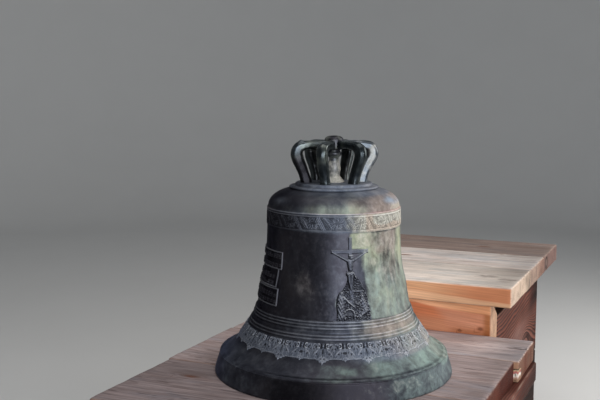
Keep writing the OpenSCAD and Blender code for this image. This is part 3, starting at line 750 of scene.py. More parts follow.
# lace frieze: a sheet with paired scrolls, pleated fans, small holes and a scalloped lower edge
def frieze_relief(T, Z):
    n = 14
    per = 2 * math.pi / n
    R = 196.0
    q = np.stack([np.cos(T).ravel() * 9, np.sin(T).ravel() * 9, Z.ravel() * 0.10], -1)
    wx, wz = perlin(q, 41).reshape(T.shape) * 1.4, perlin(q, 42).reshape(T.shape) * 0.9
    ph = (T - (FACE + math.radians(-8.1)) + per / 2) % per - per / 2   # 0 at a long pendant
    x = ph * R + wx
    half = per * R / 2                     # to the short pendant
    v = Z + wz
    out = np.zeros_like(Z)
    holes = np.zeros_like(Z)
    low = np.full_like(Z, 76.6)

    def put(h, s=1.0):
        nonlocal out
        out = np.maximum(out, h * s)

    def hole(h, s=1.0):
        nonlocal holes
        holes = np.maximum(holes, h * s)

    for kk in (-2, -1, 0, 1, 2):
        X = x - kk * half
        long = (kk % 2) == 0
        aX = np.abs(X)
        if long:
            low = np.minimum(low, 67.6 + 0.62 * aX + 2.0 * np.abs(np.sin(X * math.pi / 5.6)))
        else:
            low = np.minimum(low, 72.6 + 0.45 * aX + 1.8 * np.abs(np.sin(X * math.pi / 5.6)))
        for s in (-1, 1):
            Y = X * s
            # paired scrolls with a deep ground between them, joined by a bar
            hole(ellipse(Y, v, (4.1, 99.6), 2.7, 5.2), 1.30)
            put(arc(Y, v, (9.8, 99.6), 3.6, 1.35, 70, 290), 1.45)
            put(ellipse(Y, v, (10.4, 99.4), 1.5, 1.7), 1.1)
            hole(arc(Y, v, (10.0, 99.6), 1.9, 0.8, 90, 270), 1.0)
            hole(ellipse(Y, v, (14.4, 98.2), 1.5, 2.6), 1.0)
            # thin scrolls on to the next pair
            put(arc(Y, v, (17.0, 100.4), 3.2, 0.95, -40, 220), 0.8)
            hole(ellipse(Y, v, (17.0, 99.6), 1.5, 1.4), 0.65)
            put(capsule(Y, v, (half / 2, 98.5), (half / 2, 91.5), 1.2, 1.5), 0.7)
            hole(ellipse(Y, v, (half / 2 - 3.1, 94.6), 1.2, 1.5), 0.75)
            # leaves beside the fan and the small holes between them
            put(capsule(Y, v, (8.6, 93.8), (14.2, 88.6), 1.0, 1.6), 0.85)
            put(capsule(Y, v, (13.0, 91.0), (18.0, 85.0), 1.0, 1.5), 0.85)
            hole(ellipse(Y, v, (12.4, 86.4), 1.5, 1.5), 0.9)
            put(arc(Y, v, (16.4, 82.6), 2.6, 0.9, 0, 300), 0.7)
        put(capsule(X, v, (-3.0, 99.8), (3.0, 99.8), 1.0), 1.2)
        put(capsule(X, v, (-6, 94.6), (6, 94.6), 0.8), 0.6)
        hole(ellipse(X, v, (0, 105.5), 6.0, 1.5), 0.8)
        if long:
            hole(capsule(X, v, (0, 93.2), (0, 86.6), 1.35, 1.1), 1.35)
            hole(capsule(X, v, (0, 84.4), (0, 81.4), 0.8), 0.9)
            for s in (-1, 1):
                Y = X * s
                hole(ellipse(Y, v, (3.6, 77.8), 1.1, 1.2), 0.8)
                put(capsule(Y, v, (2.0, 81.0), (9.5, 76.8), 1.0, 0.9), 0.8)
                put(capsule(Y, v, (0.6, 76.4), (5.0, 73.2), 1.2, 1.1), 1.0)
            put(capsule(X, v, (0, 79.5), (0, 70.0), 1.2, 1.3), 1.0)
        else:
            hole(ellipse(X, v, (0, 88.2), 4.0, 2.5), 1.3)
            hole(ellipse(X, v, (-6.2, 88.6), 1.2, 1.2), 0.9)
            hole(ellipse(X, v, (6.2, 88.6), 1.2, 1.2), 0.9)
            for s in (-1, 1):
                put(capsule(X * s, v, (0.6, 80.6), (5.6, 78.6), 1.1, 1.0), 0.9)
            put(capsule(X, v, (0, 84.0), (0, 76.2), 1.1, 1.2), 0.9)
        # pleats of the fan, spreading downwards
        slope = X / (1 + np.clip(95 - v, 0, 20) * 0.030)
        pl = 0.5 + 0.5 * np.cos(slope * 2 * math.pi / 4.3)
        put(np.where(aX < 10.5, 0.62 * pl, 0) * sstep(low + 1.0, low + 2.5, v) * (1 - sstep(93.0, 94.5, v)))
    ripple = 0.5 + 0.5 * np.sin(x * 2 * math.pi / 4.4 + 1.5 * np.sin(v * 0.6))
    put(0.34 * ripple)
    sheet = sstep(low - 0.2, low + 1.0, v) * (1 - sstep(104.4, 105.2, v))
    rimline = np.clip(1 - np.abs(v - (low + 1.1)) / 1.3, 0, 1)
    put(np.sqrt(rimline), 0.95)
    q = np.stack([T.ravel() * 196 * 0.42, Z.ravel() * 0.42, T.ravel() * 0 + 1], -1)
    n1 = perlin(q, 9).reshape(T.shape)
    n2 = perlin(q * 2.1, 11).reshape(T.shape)
    out = out * np.clip(0.85 + 0.6 * n1, 0.4, 1.15)
    holes = holes * np.clip(0.95 + 0.8 * n1, 0.45, 1.1)
    body = 1.15 + 1.15 * out + 0.20 * n2 - 1.9 * holes
    h = -0.8 + sheet * (0.8 + np.clip(body, 0.02, 2.7))
    rel = np.where(sheet > 0.5, 1.75 * out - 0.46 - 2.9 * np.clip(holes - 0.20, 0, 1) + 0.7 * n2, 0.0)
    return h, rel


ring("skirt_lace", 66.6, 105.8, frieze_relief, 1500, 58, ["skirt_frieze"], film=0.42)


# ---------------------------------------------------------------- reliefs on the waist
def patch(name, th_c, u0, u1, z0, z1, du, dz, hfun, nodes, rref=150.0, keep=0.35, film=0.12):
    """A raised relief on the wall: hfun(u, z) gives mm over the wall with u in mm to the viewer's right."""
    nu, nv = int(round((u1 - u0) / du)) + 1, int(round((z1 - z0) / dz)) + 1
    us, zs = np.linspace(u0, u1, nu), np.linspace(z0, z1, nv)
    U, Z = np.meshgrid(us, zs, indexing="ij")
    H, rel = hfun(U, Z)
    H[0, :] = H[-1, :] = H[:, 0] = H[:, -1] = -0.9
    T = th_c + U / rref
    front = surf(T, Z, H).reshape(-1, 3)
    # coarse back, joined to the front's edge
    idx = np.arange(nu * nv).reshape(nu, nv)
    rim = np.concatenate([idx[:-1, 0], idx[-1, :-1], idx[:0:-1, -1], idx[0, :0:-1]])
    rim_t, rim_z = T.ravel()[rim], Z.ravel()[rim]
    cu, cz = (u0 + u1) / 2, (z0 + z1) / 2
    V = [front]
    F = [grid_faces(nu, nv)]
    prev = rim
    start = nu * nv
    steps = 6
    tt, zz = [T.ravel()], [Z.ravel()]
    for s in range(1, steps + 1):
        f = 1 - s / steps
        t2 = th_c + (cu + (((rim_t - th_c) * rref) - cu) * f) / rref
        z2 = cz + (rim_z - cz) * f
        if s < steps:
            V.append(surf(t2, z2, np.full_like(z2, -2.2)))
            tt.append(t2)
            zz.append(z2)
            cur = np.arange(len(rim)) + start
            start += len(rim)
            nxt = np.roll(np.arange(len(rim)), -1)
            F.append(np.stack([prev, prev[nxt], cur[nxt], cur], -1))
            prev = cur
    c = start
    V.append(surf(np.array([th_c + cu / rref]), np.array([cz]), np.array([-2.2])))
    tt.append(np.array([th_c]))
    zz.append(np.array([cz]))
    nxt = np.roll(np.arange(len(rim)), -1)
    faces = [list(f) for g in F for f in g] + [[a, b_, c] for a, b_ in zip(prev, prev[nxt])]
    V = np.concatenate(V)
    pat = patina(np.concatenate(tt), np.concatenate(zz))
    pat[:, :3] *= keep
    pat[:, 3] = np.clip(pat[:, 3] + film, 0, 1)
    rr = np.concatenate([rel.ravel(), np.zeros(len(V) - nu * nv)])
    return make(name, V, faces, BRONZE, nodes,
                attrs={"patina": pat[:, :3], "film": pat[:, 3], "relief": rr})


def cross_fun(U, Z):
    """Cross with a hanging figure, rocks and kneeling figures. All plain, generic shapes."""
    fig = np.zeros_like(U)

    def add(h, s, k=0.30):
        """Adds a rounded shape of height s, blended into what is there."""
        nonlocal fig
        h = h * s
        kk = np.minimum(k * s, np.minimum(fig, h)) + 1e-6
        t = np.clip(0.5 + 0.5 * (fig - h) / kk, 0, 1)
        fig = h + (fig - h) * t + kk * t * (1 - t)

    def bar(u0, u1, z0, z1, h, e=0.9):
        m = np.minimum(np.minimum(U - u0, u1 - U), np.minimum(Z - z0, z1 - Z))
        return h * sstep(-e * 0.2, e, m)

    nf = fbm(np.stack([U.ravel() * 0.42, Z.ravel() * 0.42, 0 * U.ravel()], -1), 3, 31).reshape(U.shape)
    nm = fbm(np.stack([U.ravel() * 0.14, Z.ravel() * 0.14, 0 * U.ravel()], -1), 3, 21).reshape(U.shape)
    # rocks behind: a slope that falls to the right
    edge_r = np.interp(Z, [143, 150, 170, 187, 205, 217, 232, 238], [37.2, 36.5, 34.6, 32.0, 27.5, 22.5, 13.0, 8.0])
    edge_l = np.interp(Z, [143, 150, 163, 178, 190, 200, 208, 216, 226, 238], [-31, -30, -29, -31, -29, -24, -17.5, -12, -8, -5])
    wob = 1.6 * nm + 0.8 * nf
    m = np.minimum(U - (edge_l + wob), (edge_r + wob) - U)
    m = np.minimum(m, 234 + 4 * nm - Z)
    rock = sstep(-0.3, 1.6, m) * sstep(143.8, 144.8, Z)
    cells = np.abs(fbm(np.stack([U.ravel() * 0.20, Z.ravel() * 0.20, 0 * U.ravel() + 4], -1), 3, 8).reshape(U.shape))
    lumps = 1.15 + 2.6 * sstep(0.0, 0.28, cells) + 0.7 * nf
    fig = np.maximum(fig, rock * np.clip(lumps * (0.55 + 0.45 * (1 - sstep(190, 228, Z))), 0.3, 3.4))
    # cross
    H = bar(-5.0, 3.3, 176, 312.6, 2.2)
    H = np.maximum(H, bar(-41.5, 39.5, 278.6, 287.0, 2.1))
    H = H + np.where(H > 1.5, 0.12 * np.sin(Z * 1.7 + U * 2.1), 0)
    fig = np.maximum(fig, H)
    # ledge of rock behind the figures
    add(capsule(U, Z, (0.5, 203.4), (21.5, 202.6), 2.2, 2.4), 3.2)
    # hanging figure, a plain one
    for s in (-1, 1):
        V = (U + 1.2) * s
        add(capsule(V, Z, (9.2, 266.2), (21.5, 273.2), 3.1, 2.5), 3.6)
        add(capsule(V, Z, (21.5, 273.2), (34.5, 280.0), 2.5, 1.8), 3.3)
        add(ellipse(V, Z, (37.4, 281.6), 2.6, 2.1, 0.4), 3.3)
    add(capsule(U, Z, (-6.6, 264.6), (4.2, 264.6), 3.8, 3.8), 4.1)
    add(capsule(U, Z, (-1.6, 262.5), (-0.8, 247.5), 7.6, 5.2), 4.2)
    add(ellipse(U, Z, (0.8, 270.4), 4.4, 5.3, -0.35), 5.2, 0.12)
    add(capsule(U, Z, (-3.4, 274.6), (3.6, 275.4), 1.6, 1.6), 5.5, 0.1)
    add(capsule(U, Z, (-6.4, 237.5), (3.4, 239.0), 4.3, 4.1), 4.6, 0.15)
    add(capsule(U, Z, (4.6, 239.0), (9.8, 229.0), 2.1, 1.3), 3.6)
    add(capsule(U, Z, (-4.8, 234.0), (-4.0, 221.0), 3.7, 3.0), 4.1)
    add(capsule(U, Z, (1.6, 234.0), (0.6, 221.0), 3.7, 3.0), 3.9)
    add(capsule(U, Z, (-4.0, 221.0), (-2.0, 210.5), 2.9, 2.0), 3.9)
    add(capsule(U, Z, (0.6, 221.0), (-0.6, 210.5), 2.9, 2.0), 3.6)
    add(ellipse(U, Z, (-1.2, 207.8), 2.6, 3.0), 3.9)
    body = (np.abs(U + 1.2) < 7.5) & (Z > 247) & (Z < 262)
    fig = fig + np.where(body, 0.22 * np.sin(Z * 2.0 + np.abs(U + 1.2) * 0.7), 0)
    cloth = (Z > 232.5) & (Z < 243.5) & (U > -11.5) & (U < 10)
    fig = fig + np.where(cloth, 0.38 * np.sin((Z * 1.0 - U * 0.55) * 1.55), 0)
    # figure kneeling on the left, bent towards the foot of the cross
    add(ellipse(U, Z, (-20.6, 199.6), 4.1, 4.7, -0.35), 4.9, 0.15)
    add(capsule(U, Z, (-23.4, 197.5), (-25.8, 187.0), 3.4, 4.4), 3.9)
    add(capsule(U, Z, (-20.5, 191.0), (-22.0, 172.0), 6.2, 8.2), 4.7)
    add(capsule(U, Z, (-16.4, 191.4), (-7.2, 181.6), 3.1, 2.5), 5.3, 0.15)
    add(capsule(U, Z, (-7.2, 181.6), (3.0, 172.4), 2.3, 1.7), 5.2, 0.15)
    add(capsule(U, Z, (-23.0, 168.0), (-21.0, 153.0), 7.0, 7.2), 4.2)
    # robe over the bent knee: a raised arch with a hollow inside it
    add(arc(U, Z, (-6.4, 158.4), 9.4, 2.1, 8, 172), 4.9, 0.15)
    add(capsule(U, Z, (-15.6, 158.0), (-15.0, 148.5), 2.0, 2.4), 4.4, 0.15)
    add(capsule(U, Z, (2.9, 158.0), (3.6, 148.5), 2.0, 2.2), 4.2, 0.15)
    for i in range(3):
        add(arc(U, Z, (-6.2, 153.0), 3.2 + 2.2 * i * 0.9, 0.75, 20, 160), 3.3, 0.1)
    # figure on the right, turned to the cross
    add(ellipse(U, Z, (18.6, 193.6), 3.7, 4.2, 0.3), 4.8, 0.15)
    for i in range(6):
        a = i * 1.05
        add(ellipse(U, Z, (18.8 + 3.5 * math.cos(a), 194.4 + 3.6 * math.sin(a)), 1.25, 1.25), 4.9, 0.1)
    add(capsule(U, Z, (20.0, 186.5), (24.5, 168.0), 5.2, 7.0), 4.4)
    add(capsule(U, Z, (16.2, 184.0), (10.2, 177.5), 2.2, 1.8), 4.8, 0.15)
    add(capsule(U, Z, (24.0, 164.0), (14.0, 153.0), 6.2, 5.0), 4.2)
    # small leafy clumps at the foot
    rs = np.random.RandomState(5)
    for i in range(46):
        cu, cz = rs.uniform(2, 34), rs.uniform(147, 176)
        if cu > 35 - (cz - 147) * 0.05:
            continue
        add(ellipse(U, Z, (cu, cz), rs.uniform(1.5, 2.6), rs.uniform(0.9, 1.5), rs.uniform(0, math.pi)), rs.uniform(3.6, 5.2), 0.1)
    drape = 0.34 * np.sin(U * 1.25 + Z * 0.55) + 0.26 * np.sin(U * 0.6 - Z * 0.95 + 1.0)
    fig = fig + np.where((Z < 190) & (Z > 146) & (fig > 3.0) & (U < 26), drape, 0)
    fig = np.maximum(fig, bar(-37, 36, 142.9, 145.6, 2.6))
    out = np.where(fig > 0.06, fig, -0.9)
    rel = np.clip((out - 2.9) / 2.2, -0.90, 0.72) + 0.85 * nf
    rel = np.where(H > 1.0, np.maximum(rel, -0.05), rel)
    # painted highlight on the edges that face up, painted shade below them
    up_ = -np.gradient(np.maximum(out, 0.0), axis=1) / 0.60 - 0.35 * np.gradient(np.maximum(out, 0.0), axis=0) / 0.58
    rel = rel + np.clip(1.5 * up_, -0.85, 1.6)
    # the body is darker between its ribs, and the leaves at the foot get painted glints in specks
    rel = rel - 0.75 * np.exp(-((U + 1.5) / 5.5) ** 2 - ((Z - 254) / 7.0) ** 2)
    rel = rel - 0.35 * np.exp(-((U + 1.5) / 5.0) ** 2 - ((Z - 223) / 10.0) ** 2)
    foot = sstep(2, 8, U) * (1 - sstep(184, 206, Z))
    rel = rel + foot * (2.2 * sstep(0.14, 0.40, nf) - 1.0 * sstep(0.12, 0.40, -nf))
    rel = np.where(out < 0.0, 0.0, rel)
    return out, rel


patch("cross_relief_cast", RELIEF, -44, 44, 141.8, 314.0, 0.58, 0.60, cross_fun, ["cross_relief"], film=0.22)


def panel_fun(U, Z):
    """Panel with a stepped outline; its rows hold plain bars and no letters."""
    w = np.where(Z > 236, 81.0, np.where(Z > 199, 73.0, 80.0))
    # distance to the stepped outline (negative inside)
    rects = ((81.0, 236.0, 274.5), (73.0, 199.0, 240.0), (80.0, 161.5, 199.0))
    d = np.full_like(U, 99.0)
    for hw, a, b in rects:
        dx = np.abs(U) - hw
        dz = np.maximum(a - Z, Z - b)
        dd = np.where((dx > 0) & (dz > 0), np.hypot(dx, dz), np.maximum(dx, dz))
        d = np.minimum(d, dd)
    rim = np.sqrt(np.clip(1 - ((d + 1.7) / 1.7) ** 2, 0, 1))
    ground = 1 - sstep(-0.6, 0.2, d)
    bars = np.zeros_like(U)
    rs = np.random.RandomState(11)
    rows = [(264.0, 76), (244.0, 76), (222.0, 68), (206.5, 68), (185.0, 75), (169.5, 75)]
    for zc, hw in rows:
        x = -hw + rs.uniform(0, 3)
        while x < hw - 3:
            L = rs.uniform(2.5, 7.0)
            e = min(x + L, hw)
            for dz in (-3.6, 0.0, 3.6):
                if dz == 0.0 or rs.uniform() < 0.8:
                    bars = np.maximum(bars, capsule(U, Z, (x, zc + dz), (e, zc + dz), 1.9))
            x = e + rs.uniform(5.2, 7.0)
    h = -0.8 + ground * 1.5 + 1.5 * rim + 2.2 * bars * (ground > 0.9)
    rel = np.where(ground > 0.5, -0.45 + 1.0 * bars + 1.7 * rim, 0)
    return h, rel


patch("inscription_panel_cast", RELIEF - math.radians(90), -83.5, 83.5, 159.5, 276.5, 0.95, 0.90, panel_fun,
      ["inscription_panel"], film=-0.05)


# ---------------------------------------------------------------- crown
plate_prof = [[60, PLATE_Z], [79, PLATE_Z], [82.2, PLATE_Z - 0.8], [83.2, PLATE_Z - 2.2], [83.6, PLATE_Z - 4.2],
              [84.5, 405.2], [92, 404.6], [95.2, 403.8], [96.4, 402.2], [96.2, 400.6], [95, 399.3], [92, 398.4]]


def plate_looks(V, pat):
    n = fbm(V * 45, 3, 91)
    pat[:, 0] = np.clip(pat[:, 0] * 0.5 + 0.25 * n, 0, 0.6)
    pat[:, 2] = np.clip(0.10 + 0.9 * n, 0, 0.6)
    pat[:, 3] = np.clip(pat[:, 3] + 0.30 + 0.5 * n, 0.1, 1)
    return pat


def post_looks(V, pat):
    n = fbm(V * 60, 3, 92)
    z = (V[:, 2] - BELL[2]) * 1000
    belly = sstep(416, 424, z) * (1 - sstep(452, 462, z))
    foot = 1 - sstep(417, 424, z)
    pat[:, 0] = np.clip(0.22 + 0.8 * n, 0, 0.7)
    pat[:, 1] = np.clip(0.10 + 0.6 * n + 0.2 * belly, 0, 0.5)
    pat[:, 0] = pat[:, 0] * (1 - foot)
    # painted light: the belly and foot carry pale patina, made brighter as painted light
    pat[:, 2] = np.clip(0.10 + 0.8 * n + 0.50 * belly + 0.95 * foot, 0, 1)
    pat[:, 3] = np.clip(0.30 + 0.5 * n + 0.4 * belly + 0.9 * foot, 0.1, 1)
    head = sstep(478, 484, z)
    pat[:, 0] = pat[:, 0] * (1 - head) + head * np.clip(0.34 + 0.9 * n, 0, 0.8)
    pat[:, 2] = pat[:, 2] * (1 - head) + head * np.clip(-0.10 + 1.6 * n, 0, 0.8)
    pat[:, 1] = pat[:, 1] * (1 - head)
    return pat


revolve("crown_plate_cast", np.vstack([[[0, PLATE_Z], [30, PLATE_Z]], spline(plate_prof, 3), [[0, 397.6]]]), 200, BRONZE,
        ["crown_plate"], wobble=0.9, seed=8, relief=0.20, looks=plate_looks)

post_prof = [[23.0, 410.4], [22.0, 414.0], [17.5, 418.5], [13.6, 424], [13.4, 430], [14.6, 438], [13.8, 446], [11.6, 454],
             [10.4, 460], [10.8, 464], [14.2, 467], [16.6, 471], [16.0, 475], [13.4, 477.5], [14.0, 480], [18.8, 483],
             [20.4, 487], [20.5, 495], [20.3, 501], [18.4, 506], [13.0, 509.4], [6, 510.6]]
revolve("crown_post_turned", np.vstack([[[0, 409.6]], spline(post_prof, 4), [[0, 510.9]]]), 64, BRONZE, ["crown_post"],
        wobble=0.7, seed=12, relief=0.30, looks=post_looks)

# one suspension loop: centre line [radius, height], radial thickness, width
LOOP = [[61.0, 409.0, 24.5, 23.0], [62.5, 419.0, 23.0, 20.5], [65.5, 430.0, 22.5, 19.5], [71.5, 445.0, 23.5, 20.5],
        [78.5, 461.0, 25.0, 22.0], [81.0, 474.0, 25.5, 22.5], [76.5, 484.8, 24.0, 22.5], [66.0, 489.4, 20.0, 22.0],
        [52.0, 491.6, 16.5, 21.0], [38.0, 492.2, 15.5, 19.5], [26.0, 491.8, 17.0, 18.5], [17.0, 491.2, 20.0, 18.0]]
loop_c = spline(LOOP, 6)
# turn about the axis (degrees), wider by (mm), belly further out by (mm), a nub on top: hand work, no two loops alike
LOOP_SELF = [(-1.0, 1.0, 3.5, 0.0), (-4.5, 4.5, 1.5, 0.0), (-4.0, 5.5, 0.5, 0.0), (0.0, 0.5, 0.0, 1.0), (0.0, 0.5, 0.0, 0.0),
             (0.5, 1.0, 0.5, 0.0)]


def loop_mesh(i, ang):
    turn, wide, out, nub = LOOP_SELF[i]
    ang = ang + math.radians(turn)
    c = loop_c[:, :2].copy()
    c[:, 0] += out * np.exp(-((c[:, 1] - 474) / 26.0) ** 2) * sstep(40, 70, c[:, 0])
    d = np.gradient(c, axis=0)
    d /= np.linalg.norm(d, axis=1)[:, None]
    nrm = np.stack([d[:, 1], -d[:, 0]], -1)          # outward in the radial plane
    m = len(c)
    s = np.concatenate([[0], np.cumsum(np.linalg.norm(np.diff(c, axis=0), axis=1))])
    K = 40
    t = np.arange(K) * 2 * math.pi / K
    V, rel = [], []
    for j in range(m):
        a, w = loop_c[j, 2] / 2, (loop_c[j, 3] + wide * math.sin(math.pi * min(s[j] / s[-1] * 1.1, 1.0))) / 2
        ct, st = np.cos(t), np.sin(t)
        e = 2 / 2.7
        x = np.sign(ct) * np.abs(ct) ** e * a        # across, outward
        y = np.sign(st) * np.abs(st) ** e * w        # sideways
        # a low rib down the outer face with a shallow groove on each side
        f = np.clip(ct, 0, 1) ** 0.5
        yy = y / w
        rib = 0.9 * np.exp(-(yy / 0.30) ** 2) - 0.7 * np.exp(-((np.abs(yy) - 0.55) / 0.16) ** 2)
        rib = rib * f * (0.35 + 0.65 * math.sin(min(max(s[j] / s[-1], 0.02), 0.98) * math.pi))
        g = -0.6 * np.exp(-((x / a) / 0.34) ** 2) * (np.abs(st) > 0.6)
        x2 = x + rib
        if nub:
            x2 = x2 + 3.2 * math.exp(-((c[j, 0] - 69) / 3.2) ** 2) * (c[j, 1] > 480) * np.clip(ct, 0, 1) ** 2 * (np.abs(yy) < 0.5)
        y2 = y * (1 + g / w)
        r = c[j, 0] + nrm[j, 0] * x2
        z = c[j, 1] + nrm[j, 1] * x2
        V.append(np.stack([r, y2, z], -1))
        up = nrm[j, 1] * ct                          # faces upward
        inner = sstep(0.0, -0.7, ct) * (0.35 + 0.65 * (s[j] / s[-1] < 0.62))
        # upward faces are painted lighter, a painted highlight; inner faces are darker
        rel.append(-0.10 + 0.25 * (rib / 0.9) + 0.4 * g + 0.30 * np.clip(up, 0, 1) - 0.85 * inner)
    V = np.array(V).reshape(-1, 3)
    rel = np.array(rel).ravel()
    V[:, 2] = np.maximum(V[:, 2], 409.2)
    ca, sa = math.cos(ang), math.sin(ang)
    P = np.stack([(V[:, 0] * ca - V[:, 1] * sa) / 1000 + BELL[0], (V[:, 0] * sa + V[:, 1] * ca) / 1000 + BELL[1],
                  V[:, 2] / 1000 + BELL[2]], -1)
    P = P + (fbm(P * 60, 3, 50 + i) * 1.9 / 1000)[:, None] * np.array([ca, sa, 0.0])
    P = P + (fbm(P * 60, 3, 60 + i) * 1.6 / 1000)[:, None] * np.array([-sa, ca, 0.0])
    F = grid_faces(m, K, closed_v=True).tolist()
    F.append(list(range(K))[::-1])
    F.append([(m - 1) * K + q for q in range(K)])
    n1 = fbm(P * 25, 3, 70 + i)
    n2 = fbm(P * 50, 3, 80 + i)
    phi = math.degrees((ang - FACE + math.pi) % (2 * math.pi) - math.pi)
    lit = sstep(60, 96, phi) * (1 - sstep(125, 150, phi))
    high = sstep(468, 492, V[:, 2])
    # painted shade: the lower leg of the loop on the far left is painted dark, with less film, patina and gloss
    dark = float(-100 < phi < -60) * (1 - sstep(450, 476, V[:, 2]))
    low_ = 1 - sstep(414, 440, V[:, 2])
    # painted light: the loops on the right, where light falls, get more pale patina and film; the tops of the loops on
    # the left and back get more film as a painted reflection
    pat = np.stack([np.clip(0.10 + 0.8 * n1 - 0.1 * lit + 0.10 * low_ * (phi > 0), 0, 0.45), np.clip(0.03 + 0.3 * n1, 0, 0.2),
                    np.clip(0.50 * lit - 0.22 + 0.9 * n2, 0, 0.6)], -1)
    film = np.clip(0.09 + 0.46 * lit + 0.55 * n2 + 0.16 * high * (phi < 30) + 0.12 * low_, 0.03, 1)
    film = film * (1 - 0.9 * dark)
    pat = pat * (1 - 0.9 * dark)[:, None]
    rel = rel - 1.2 * dark
    looks = {"patina": pat, "film": film, "relief": rel}
    if np.max(dark) > 0:
        looks["gloss"] = 0.9 - 0.75 * dark
    return make(f"crown_loop_cast_{i + 1}", P, F, SHADE_DULLED if "gloss" in looks else HANDLED, [f"crown_loop_{i + 1}"],
                attrs=looks)


for i in range(6):
    loop_mesh(i, math.radians(35 + 60 * i))


